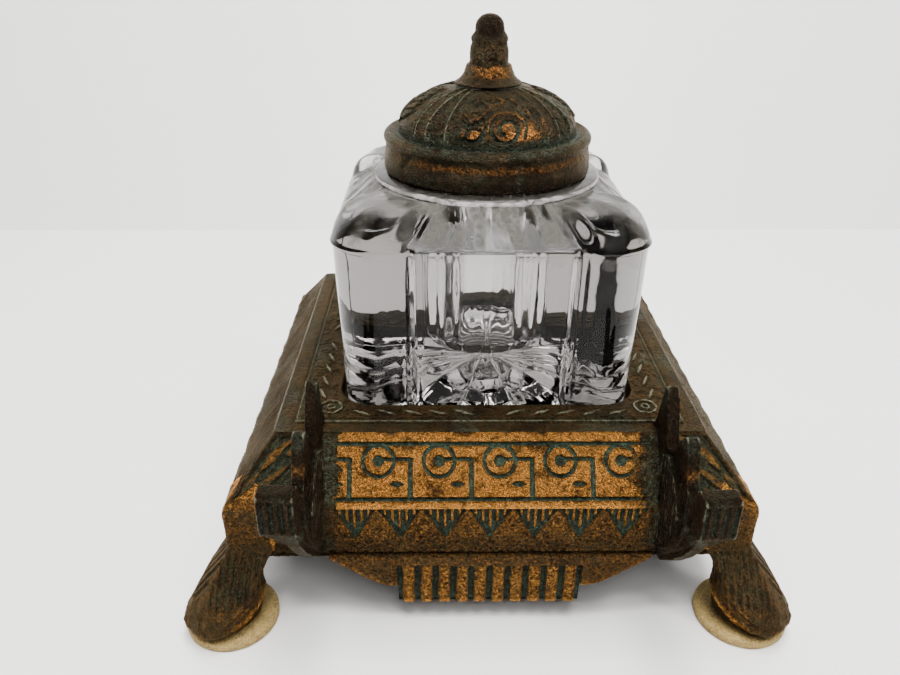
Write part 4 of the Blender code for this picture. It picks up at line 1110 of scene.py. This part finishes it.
def build_bottle(material):
    """Pressed-glass bottle: panelled body, lobed shoulders, collar, neck and a round ink well."""
    per_side = 150
    count = per_side * 4
    side = np.repeat(np.arange(4), per_side)
    a = np.tile(np.linspace(-1, 1, per_side, endpoint=False), 4)

    rings = []
    # Underside: a star of pressed rays inside a flat rim.
    u0, out0 = bottle_outline(a, BASE_HALF - 1.6, BASE_CORNER - 1.0, 0.2)
    rim = all_round(side, u0, out0, BOTTLE_LOW[2])
    ray = np.abs(np.cos(np.arctan2(rim[:, 1], rim[:, 0]) * 8))
    for share in (0.004, 0.03, 0.06, *np.linspace(0.1, 0.96, 46)):
        dome = 4.6 * (1 - min(1.0, share / 0.95) ** 2.1)
        depth = (0.2 + 1.0 * share) * ramp(share, 0.0, 0.08) * (1 - ramp(share, 0.86, 0.96))
        lift = dome + depth * (1 - ray ** 0.7)
        x, y = rim[:, 0] * share, rim[:, 1] * share
        rings.append(np.stack([x, y, BOTTLE_LOW[2] + 0.05 + lift], axis=-1))
    rings.append(rim)
    for inset, rise in ((1.0, 0.02), (0.5, 0.14), (0.18, 0.42), (0.0, 0.9)):
        u, out = bottle_outline(a, BASE_HALF - inset, BASE_CORNER - inset, 0.8)
        rings.append(all_round(side, u, out, BOTTLE_LOW[2] + rise))
    foot_z, neck_z = BOTTLE_LOW[2] + 0.9, SHOULDER_Z - 0.7
    for t in np.linspace(0.06, 1.0, 28):
        half = BASE_HALF + (SHOULDER_HALF - 0.35 - BASE_HALF) * t
        corner = BASE_CORNER + (COLUMN_RADIUS - BASE_CORNER) * t
        u, out = bottle_outline(a, half, corner, 0.8 * (1 - 0.3 * ramp(t, 0.9, 1.0)))
        rings.append(all_round(side, u, out, foot_z + (neck_z - foot_z) * t))
    for grow, rise in ((-0.1, -0.45), (0.0, -0.15), (-0.02, 0.1), (-0.25, 0.4)):
        u, out = bottle_outline(a, SHOULDER_HALF + grow, COLUMN_RADIUS, 0.35)
        rings.append(all_round(side, u, out, SHOULDER_Z + rise))
    # Shoulders: flat facet over each panel, bulging lobe over each corner, and a ridge between.
    shoulder_u, shoulder_out = bottle_outline(a, SHOULDER_HALF - 0.3, COLUMN_RADIUS, 0.1)
    shoulder = all_round(side, shoulder_u, shoulder_out, SHOULDER_Z + 0.45)
    angle = a * math.pi / 4
    collar = all_round(side, COLLAR_RADIUS * np.sin(angle), COLLAR_RADIUS * np.cos(angle), COLLAR_Z)
    panel_edge = PANEL_HALF / (SHOULDER_HALF - COLUMN_RADIUS + COLUMN_RADIUS * math.pi / 4)
    for t in np.linspace(0.04, 1.0, 34):
        limit = panel_edge + (10.3 / (COLLAR_RADIUS * math.pi / 4) - panel_edge) * t
        lobe = ramp(np.abs(a), limit - 0.01, limit + 0.14)
        bulge = math.sin(math.pi * min(1.0, t * 1.02)) ** 0.85
        corner = 1.0 - (1.0 - np.abs(a)) / np.maximum(1.0 - limit, 0.05)
        shape = shoulder + (collar - shoulder) * t
        normal = np.stack([shape[:, 0], shape[:, 1], np.full(count, 26.0)], axis=-1)
        normal /= np.linalg.norm(normal, axis=1)[:, None]
        ridge = bell(np.abs(a), limit, 0.022) * math.sin(math.pi * t) ** 0.5
        streak = 0.16 * np.sin(corner * math.pi * 2.5) * lobe
        push = lobe * bulge * (2.6 + 0.9 * np.clip(corner, 0, 1)) + 0.35 * ridge + streak * bulge
        rings.append(shape + normal * push[:, None])
    circle = np.arctan2(collar[:, 1], collar[:, 0])

    def circular(radius, z, facets=0.0):
        r = radius + facets * np.cos(circle * 16)
        return np.stack([r * np.cos(circle), r * np.sin(circle), np.full(count, z)], axis=-1)

    top = BOTTLE_HIGH[2]
    ledge = COLLAR_Z + 1.2
    for radius, z in ((COLLAR_RADIUS + 0.15, COLLAR_Z + 0.35), (COLLAR_RADIUS, COLLAR_Z + 0.9),
                      (COLLAR_RADIUS - 0.5, ledge), (NECK_RADIUS + 0.5, ledge), (NECK_RADIUS, ledge + 0.4),
                      (NECK_RADIUS, top - 0.8), (NECK_RADIUS - 0.25, top - 0.2), (NECK_RADIUS - 0.8, top),
                      (MOUTH_RADIUS + 0.8, top), (MOUTH_RADIUS + 0.2, top - 0.2), (MOUTH_RADIUS, top - 0.8)):
        rings.append(circular(radius, z))
    for z in np.linspace(top - 2.0, WELL_FLOOR + 5.2, 26):
        facet = 0.16 * (1 - ramp(z, top - 8.0, top - 4.0))
        radius = MOUTH_RADIUS + (WELL_RADIUS - MOUTH_RADIUS) * min(1.0, (top - z) / 8.0)
        rings.append(circular(radius, z, facet))
    for bend in np.linspace(10, 88, 12):
        c, s = math.cos(math.radians(bend)), math.sin(math.radians(bend))
        r, z = WELL_RADIUS - WELL_BEND * (1 - c), WELL_FLOOR + WELL_BEND * (1 - s)
        rings.append(circular(r, z, 0.16 * c + 0.06))
    for share in (0.93, 0.8, 0.6, 0.4, 0.2, 0.05, 0.01):
        flat = circular((WELL_RADIUS - WELL_BEND) * share, WELL_FLOOR)
        star = np.abs((circle * 8 / math.pi) % 2 - 1)
        flat[:, 2] += 0.35 * star * ramp(share, 0.0, 0.4) * (1 - ramp(share, 0.8, 1.0))
        rings.append(flat)
    points, faces = loft(rings)
    x, y, z = points.T
    radius = np.hypot(x, y)
    frost_and_reflection = 0.18 * bell(z, COLLAR_Z + 0.6, 1.1) * ramp(radius, COLLAR_RADIUS - 1.5, COLLAR_RADIUS - 0.2)
    on_shoulder = band(z, SHOULDER_Z + 1.0, COLLAR_Z, 0.6) * ramp(radius, 21.0, 22.0)
    on_panel = 1 - ramp(np.minimum(np.abs(x), np.abs(y)), 11.0, 15.0)
    patches = ramp(noise(np.arctan2(x, y) * 22, radius * 0.3, 1.4, 137), -0.7, 0.6)
    # Over the shoulders, and most over the flat panels, the layer lays on dark streaky grime that is partly a
    # painted reflection of the lid.
    layers = {"frost_and_reflection": frost_and_reflection + (0.14 + 0.30 * on_panel) * on_shoulder * patches}
    name = "pressed_bottle"
    return make_piece(name, points, faces, material, "bottle", ("ink_bottle",), layers, 50)


# ---------------------------------------------------------------- lid and finial

LIP_Z = LID_LOW[2] + 6.2
LID_RADIUS = LID_HIGH[0]
DOME_RADIUS = 17.4
DOME_Z = LID_LOW[2] + 8.1
CROWN_Z = LID_HIGH[2]
CROWN_RADIUS = 6.0


def line_through(x, y, points, half):
    """One along a chain of strokes."""
    return highest(*(stroke(x, y, start, end, half) for start, end in zip(points, points[1:])))


def spiral(center, start_radius, end_radius, start, turns):
    """Points along a spiral, with its start angle in degrees."""
    t = np.linspace(0, 1, 40)
    angle = np.radians(start) + 2 * math.pi * turns * t
    radius = start_radius + (end_radius - start_radius) * t
    return list(zip(center[0] + radius * np.cos(angle), center[1] + radius * np.sin(angle)))


def leaf_spray(x, y):
    """Pairs of leaves climbing a bent stem: what stands up, and what is cut between."""
    bend = x - 0.5 * np.sin(y / 3.4)
    up = stroke(bend, y, (0.0, 1.0), (0.0, 11.0), 0.22)
    cut = np.zeros_like(x)
    for i in range(5):
        for side in (-1, 1):
            length = 5.4 - 0.75 * i
            at = 1.6 + 2.15 * i + (0.5 if side > 0 else 0.0)
            px, py = turned_by(bend - side * 0.46 * length, y - at - 0.22 * length, side * (28 + 7 * i))
            blade = leaf(px, py, length, 1.5, 0.25)
            up = np.maximum(up, blade)
            cut = highest(cut, stroke(px, py, (-0.36 * length, 0.0), (0.36 * length, 0.0), 0.12),
                          0.7 * (leaf(px, py, length + 0.9, 2.4, 0.25) - blade))
    return up, cut


def dome_relief(azimuth, climb, radius):
    """Four panels between ribs and veined strips, with climb from the lip up.

    The front panel carries the scroll; the other three carry a spray of leaves.
    """
    degrees = np.degrees(azimuth)
    local = (degrees + 30.0) % 90.0 - 30.0
    mm = math.pi / 180 * radius
    ridges = np.zeros_like(local)
    sunk = np.zeros_like(local)
    flare = 5.0 * np.clip(climb / 14.2, 0, 1) ** 2
    for at, side in ((-29.5, 1), (36.5, -1), (46.0 + flare, 1), (60.5, -1)):
        gap = ((local - at + 45.0) % 90.0 - 45.0) * mm
        ridges = np.maximum(ridges, bell(gap, 0.0, 0.26))
        sunk = np.maximum(sunk, bell(gap, side * 0.62, 0.26))
    x, y = (local - 3.75) * mm, climb
    scroll = (1.5, 3.0)
    curl = spiral(scroll, 3.15, 1.05, 135, 1.28)
    rise = spiral(scroll, 3.5, 3.3, 30, 0.42)
    cut = highest(line_through(x, y, curl, 0.33),
                  line_through(x, y, [(-0.9, 5.0), (-2.2, 3.6), (-2.8, 2.2), (-3.0, 0.8)], 0.28),
                  line_through(x, y, [(-2.6, 5.2), (-4.2, 4.0), (-5.6, 3.6), (-6.6, 4.6)], 0.24),
                  line_through(x, y, [(4.9, 1.2), (5.4, 3.4), (4.6, 6.0), (3.0, 8.0)], 0.22))
    stalk = [(-6.0, 6.0), (-5.2, 4.8), (-3.8, 4.9), (-2.6, 6.0), (-1.4, 7.4), (-0.6, 8.3)]
    stem = highest(line_through(x, y, stalk, 0.26), line_through(x, y, rise, 0.24))
    for lx, ly, angle, length, width in ((-4.6, 1.9, 20, 2.9, 1.7), (-3.9, 5.4, 120, 2.0, 1.1),
                                         (-6.4, 2.2, 80, 2.2, 1.2), (5.7, 6.4, 110, 2.6, 0.9),
                                         (3.4, 9.8, 130, 2.4, 0.8), (-3.4, 9.4, 60, 2.2, 0.8)):
        px, py = turned_by(x - lx, y - ly, angle)
        blade = leaf(px, py, length, width, 0.2)
        stem = np.maximum(stem, blade)
        cut = np.maximum(cut, 0.8 * (leaf(px, py, length + 1.0, width + 1.1, 0.2) - blade))
    ex, ey = x + 0.4, y - 9.7
    stem = highest(stem, leaf(ex, ey, 4.6, 3.0, 0.15) - leaf(ex, ey, 3.3, 1.9, 0.12), disc(ex, ey, 0.35))
    cut = np.maximum(cut, leaf(ex, ey, 3.4, 2.0, 0.15) * (1 - disc(ex, ey, 0.4)))
    spray, veined = leaf_spray(x, y)
    front = (degrees + 30.0) % 360.0 < 90.0
    stem, cut = np.where(front, stem, spray), np.where(front, cut, veined)
    in_panel = ramp(local, -28.0, -26.0) * (1 - ramp(local, 34.0, 36.0)) * ramp(climb, 0.5, 1.0)
    veins = np.abs(np.sin(math.pi * (np.abs(local - 53.5) * mm * 0.9 - climb) / 1.5)) ** 1.5
    strip = ramp(local, 47.5 + flare, 49.0 + flare) * (1 - ramp(local, 58.0, 59.5))
    swirl = bell(noise(local * mm + 30, climb + 30, 1.9, 119), 0.0, 0.13)
    swirl = swirl * in_panel * (1 - np.maximum(cut, stem))
    swirl = swirl * ramp(np.hypot(x - scroll[0], y - scroll[1]), 3.8, 5.0)
    h = 0.30 * ridges - 0.24 * sunk + 0.32 * stem * in_panel - 0.50 * cut * in_panel * (1 - 0.8 * stem)
    h += -0.20 * (1 - veins) * strip - 0.14 * swirl
    return h, ridges, stem * in_panel, np.clip(cut * in_panel + sunk, 0, 1)


def build_lid(material):
    """Domed lid: relief dome, rolled lip, upright skirt, and the hollow over the bottle's neck."""
    count = 760
    azimuth = even_angles(count)
    x_unit, y_unit = np.sin(azimuth), -np.cos(azimuth)
    rings, heights, wear_and_highlight_rows, teals, films = [], [], [], [], []

    def emit(r, z, height=0.6, wear_and_highlight=0.25, teal=0.3, film=0.0):
        r, z = np.broadcast_to(r, (count,)), np.broadcast_to(z, (count,))
        rings.append(np.stack([r * x_unit, r * y_unit, z], axis=-1))
        for store, value in ((heights, height), (wear_and_highlight_rows, wear_and_highlight), (teals, teal), (films, film)):
            store.append(np.broadcast_to(value, (count,)))

    hole = 1.95
    for r in (hole, 3.0, 4.5, 5.6):
        emit(r, CROWN_Z)
    t = np.linspace(0.0, 1.0, 110)
    radius = CROWN_RADIUS + (DOME_RADIUS - CROWN_RADIUS) * np.sin(t * math.pi / 2) ** 1.04
    level = CROWN_Z + (DOME_Z - CROWN_Z) * t ** 1.55
    run = np.concatenate([[0], np.cumsum(np.hypot(np.diff(radius), np.diff(level)))])
    climb = run[-1] - run
    slope_r, slope_z = np.gradient(radius), np.gradient(level)
    size = np.hypot(slope_r, slope_z)
    normal_r, normal_z = -slope_z / size, slope_r / size
    turn = (azimuth + math.pi) % (2 * math.pi) - math.pi
    # Worn gold toward the front of the dome, strongest low down: partly wear, partly a painted highlight on
    # the side the front light catches; dust and film are thinner there.
    front_wear_and_highlight = np.exp(-(turn - 0.17) ** 2 / 0.20)
    for k in range(len(t)):
        up = np.full(count, climb[k])
        along = azimuth * radius[k]
        h, ridges, vine, grooved = dome_relief(azimuth, up, radius[k])
        h = h * min(1.0, k / 6) * min(1.0, (len(t) - 1 - k) / 5) + 0.05 * rough(along, up, 1.6, 111)
        patches = ramp(noise(along, up, 1.7, 113), -0.5, 0.3)
        wear_and_highlight = 0.20 + 0.10 * ridges + (0.10 + 0.26 * front_wear_and_highlight) * vine
        wear_and_highlight = wear_and_highlight + 0.76 * front_wear_and_highlight * (1 - ramp(climb[k], 2.8, 6.5)) * (1 - grooved) * (0.5 + 0.5 * patches)
        low = 1 - ramp(climb[k], 0.3, 1.6)
        teal = 0.35 + 0.6 * grooved + 0.5 * low + 1.3 * ridges * (1 - 0.6 * front_wear_and_highlight)
        height = np.clip(0.72 + 1.1 * h - 0.35 * low, 0, 1)
        film = 0.55 * ramp(noise(along, up, 2.6, 115), -0.35, 0.6) * (1 - 0.85 * front_wear_and_highlight)
        emit(radius[k] + normal_r[k] * h, level[k] + normal_z[k] * h, height, wear_and_highlight, teal, film)
    # Gutter, rolled lip, skirt with one dent, and the hollow.
    flat = azimuth * 0
    around = azimuth * LID_RADIUS
    worn = 0.06 * rough(around, flat, 2.0, 121)
    for angle in np.radians(np.linspace(200, 90, 5)):
        emit(DOME_RADIUS + 0.75 + 0.7 * math.cos(angle), LIP_Z + 1.15 - 0.5 * math.sin(angle), 0.3, 0.1, 1.0)
    for angle in np.radians(np.linspace(80, -35, 14)):
        c, s = math.cos(angle), math.sin(angle)
        film = 0.62 * ramp(s, -0.2, 0.5) * ramp(noise(azimuth * 18, flat + s, 1.5, 127), -0.8, 0.5)
        emit(LID_RADIUS - 1.35 + 1.3 * c + worn, LIP_Z + 0.15 + 1.25 * s, 0.55 + 0.2 * s, 0.16,
             0.5 + 0.5 * ramp(s, 0.3, 0.85), film)
    for z in np.linspace(LIP_Z - 1.0, LID_LOW[2] + 0.5, 30):
        down = LIP_Z - z
        dent = 0.35 * bell(azimuth, 2 * math.pi - 0.80 - 0.045 * down, 0.035) * band(down, 0.4, 3.6, 0.5)
        skin = 0.07 * rough(around, flat + z, 1.3, 125)
        wear_and_highlight = 0.14 + 0.42 * bell(down, 1.9, 1.1) * (0.6 + 0.4 * np.cos(azimuth))
        wear_and_highlight -= 0.36 * ramp(down, 2.8, 4.8)
        film = 0.4 * ramp(noise(around, flat + z, 2.4, 129), 0.1, 0.7)
        sweep = LID_RADIUS - 0.45 + 0.4 * ramp(down, 0.8, 4.8)
        emit(sweep - dent + skin, z, 0.8 + 1.0 * skin - 1.5 * dent, wear_and_highlight, 0.2 + 0.8 * dent, film)
    emit(LID_RADIUS - 0.15, LID_LOW[2] + 0.15, 0.5, 0.1, 0.2)
    emit(LID_RADIUS - 0.45, LID_LOW[2], 0.5, 0.05, 0.2)
    inner = LID_RADIUS - 2.0
    hollow = [(inner + 0.2, LID_LOW[2]), (inner, LID_LOW[2] + 0.3), (inner, LIP_Z - 0.5),
              (DOME_RADIUS - 2.0, DOME_Z - 1.0)]
    hollow += [(max(radius[k] - 1.1, 3.4), level[k] - 2.0) for k in range(90, 0, -15)]
    for r, z in hollow + [(hole, CROWN_Z - 2.0)]:
        emit(r, z, 0.4, 0.05, 0.3)
    points = np.concatenate(rings)
    faces = ring_quads(len(rings), count).tolist()
    last = (len(rings) - 1) * count
    faces += [[last + j, last + (j + 1) % count, (j + 1) % count, j] for j in range(count)]
    layers = {"height": heights, "wear_and_highlight": wear_and_highlight_rows, "teal": teals, "film": films}
    return make_piece("lid_casting", points, faces, material, "lid_body", ("lid",), layers, 60)


def build_finial(material):
    """Turned knob with an uneven ring, a pitted column and a flared foot."""
    top = FINIAL_HIGH[2]
    foot_z = CROWN_Z + 0.3
    under = FINIAL_LOW[2]
    # Radius and depth below the tip.
    turned = [(0.03, 0), (0.7, 0.06), (1.35, 0.28), (1.95, 0.7), (2.4, 1.25), (2.68, 1.9), (2.78, 2.6),
              (2.82, 3.2), (3.2, 3.7), (3.45, 4.2), (3.42, 4.7), (3.3, 5.1), (3.55, 5.6), (3.66, 6.2),
              (3.68, 7.2), (3.7, 8.2), (3.74, 8.75), (4.25, 8.95), (4.42, 9.3), (4.62, 10.0), (4.95, 10.8),
              (5.5, 11.5), (6.1, 11.95), (6.5, 12.2)]
    profile = np.array([(r, top - deep) for r, deep in turned] + [(6.58, foot_z + 0.25), (6.3, foot_z)])
    distance = np.concatenate([[0], np.cumsum(np.hypot(np.diff(profile[:, 0]), np.diff(profile[:, 1])))])
    even = np.linspace(0, distance[-1], 130)
    radius, level = np.interp(even, distance, profile[:, 0]), np.interp(even, distance, profile[:, 1])
    kernel = np.array([1, 2, 1]) / 4
    radius[1:-1] = np.convolve(radius, kernel, "valid")
    level[1:-1] = np.convolve(level, kernel, "valid")
    count = 200
    azimuth = even_angles(count)
    flat = azimuth * 0
    # Gold on the column, cone and foot falls off away from the front: partly wear, partly a painted highlight
    # on the side facing the front light.
    front_wear_and_highlight = 0.5 + 0.5 * np.cos(azimuth - 0.2)
    rings, heights, wear_and_highlight_rows, teals = [], [], [], []

    def emit(r, z, height, wear_and_highlight, teal):
        rings.append(np.stack([r * np.sin(azimuth), -r * np.cos(azimuth), np.full(count, z)], axis=-1))
        for store, value in ((heights, height), (wear_and_highlight_rows, wear_and_highlight), (teals, teal)):
            store.append(np.broadcast_to(value, (count,)))

    for r, z in zip(radius, level):
        bumps = 0.10 * rough(azimuth * 3.4, flat + z, 0.9, 131) * min(1.0, r / 2.5)
        swell = 0.16 * bell(z, top - 4.4, 0.6)
        bumps = bumps + swell * noise(np.abs(np.sin(azimuth / 2)) * 8, flat + 3, 1.3, 133)
        pits = ramp(noise(azimuth * 3.7, flat + z, 0.55, 135), 0.45, 0.8) * band(z, top - 8.6, top - 4.8, 0.4)
        bumps = bumps - 0.14 * pits
        crown = -0.20 - 0.26 * ramp(z, top - 5.4, top - 2.6)
        column = 0.46 * band(z, top - 9.2, top - 5.0, 0.8)
        column = column * ramp(noise(azimuth * 3.6, flat + z, 1.1, 137), -0.5, 0.3)
        # The cone's bright band is partly a painted highlight.
        cone = 0.66 * band(z, top - 11.2, top - 9.0, 0.4) * front_wear_and_highlight
        wear_and_highlight = 0.18 + crown + (column + cone + 0.3 * bell(z, foot_z + 0.4, 0.25)) * front_wear_and_highlight
        emit(r + bumps, z, np.clip(0.8 + 2.0 * bumps, 0, 1), wear_and_highlight, 0.25)
    for r, z in ((1.65, foot_z), (1.6, foot_z - 0.2), (1.6, under + 1.2), (2.8, under + 1.2),
                 (2.6, under + 0.5), (1.2, under + 0.05), (0.03, under)):
        emit(r, z, 0.4, 0.05, 0.2)
    points, faces = loft(rings)
    layers = {"height": heights, "wear_and_highlight": wear_and_highlight_rows, "teal": teals}
    return make_piece("finial_knob", points, turned_out(faces, False), material, "lid_body", ("finial",),
                      layers, 50)


def build_camera():
    """Camera above and in front of the inkwell."""
    place = Vector((AXIS.x - 9.38 * MM, AXIS.y - 154.43 * MM, 120.2 * MM))
    yaw, pitch, roll = math.radians(0.838), math.radians(27.871), math.radians(0.373)
    forward = Vector((math.sin(yaw) * math.cos(pitch), math.cos(yaw) * math.cos(pitch), -math.sin(pitch)))
    right = Vector((math.cos(yaw), -math.sin(yaw), 0.0))
    up = right.cross(forward)
    level = Matrix((right, up, -forward)).transposed()
    camera = bpy.data.cameras.new("camera")
    camera.sensor_width = 36.0
    camera.lens = 30.74
    camera.clip_start = 0.005
    holder = bpy.data.objects.new("camera", camera)
    holder.matrix_world = Matrix.Translation(place) @ (level @ Matrix.Rotation(roll, 3, "Z")).to_4x4()
    bpy.context.scene.collection.objects.link(holder)
    bpy.context.scene.camera = holder


def add_area(name, place, target, size, power, color=(1.0, 1.0, 1.0)):
    """Soft rectangular light aimed at a point, in metres."""
    light = bpy.data.lights.new(name, "AREA")
    light.shape = "RECTANGLE"
    light.size, light.size_y = size
    light.energy = power
    light.color = color
    holder = bpy.data.objects.new(name, light)
    turn = (Vector(target) - Vector(place)).to_track_quat("-Z", "Y")
    holder.matrix_world = Matrix.Translation(Vector(place)) @ turn.to_matrix().to_4x4()
    bpy.context.scene.collection.objects.link(holder)


def build_studio():
    """Pale table and the wall that rises behind it, four soft lights and a dim even surround."""
    size = 3.0
    table = make_paper("table_white", (0.86, 0.855, 0.845), (0.82, 0.815, 0.805))
    wall = make_paper("wall_white", (0.80, 0.795, 0.785), (0.77, 0.765, 0.755))
    far = AXIS.y + 0.178
    rise = ((far, 0.0), (far + 0.125, 0.105), (far + 0.155, 0.2), (far + 0.165, size))
    for name, material, profile, skew in (("table", table, ((-size, 0.0), (size, 0.0)), 0.0),
                                          ("wall", wall, rise, 0.0087)):
        corners = [(side, y + side * skew, z) for y, z in profile for side in (-size, size)]
        faces = [(2 * k, 2 * k + 1, 2 * k + 3, 2 * k + 2) for k in range(len(profile) - 1)]
        mesh = bpy.data.meshes.new(name)
        mesh.from_pydata(corners, [], faces)
        mesh.materials.append(material)
        sheet = bpy.data.objects.new(name, mesh)
        bpy.context.scene.collection.objects.link(sheet)
    add_area("ceiling", (0.05, -0.02, 0.80), (0.0, -0.02, 0.0), (0.9, 0.28), 16.3, (1.0, 0.99, 0.97))
    add_area("front", (0.10, -0.72, 0.84), (0.0, 0.0, 0.05), (0.7, 0.26), 3.1)
    add_area("wash", (0.0, -0.22, 0.90), (0.0, 0.20, 0.22), (1.1, 0.08), 7.5)
    add_area("lamp", (0.40, -0.30, 0.70), (0.0, 0.0, 0.06), (0.10, 0.10), 1.6, (1.0, 0.97, 0.92))
    world = bpy.data.worlds.new("surround")
    bpy.context.scene.world = world
    world.use_nodes = True
    background = world.node_tree.nodes["Background"]
    background.inputs["Color"].default_value = (0.93, 0.94, 0.96, 1.0)
    background.inputs["Strength"].default_value = 0.17


build_camera()
build_studio()
bronze = make_bronze("bronzed_casting")
dark = make_bronze("dark_bronzed_casting", (0.42, 0.20, 0.06), (0.024, 0.017, 0.010),
                   (0.010, 0.008, 0.005), 0.7, 0.24)
olive = make_bronze("lid_bronzed_casting", (0.60, 0.240, 0.062), (0.074, 0.054, 0.029),
                    (0.029, 0.028, 0.017), 1.0, 0.20)
glass = make_glass()
felt = make_felt()
build_stand(bronze)
for turn in range(4):
    build_apron(turn, bronze)
build_rack("pen_rack_left", -1, 0.6, dark)
build_rack("pen_rack_right", 1, -0.6, dark)
CORNERS = (("front_left", -1, -1), ("front_right", 1, -1), ("back_left", -1, 1), ("back_right", 1, 1))
for index, (corner, side_x, side_y) in enumerate(CORNERS):
    build_leg(f"leg_{corner}", side_x, side_y, bronze)
    build_pad(f"felt_pad_{corner}", felt, 141 + index * 10)
build_bottle(glass)
build_lid(olive)
build_finial(olive)
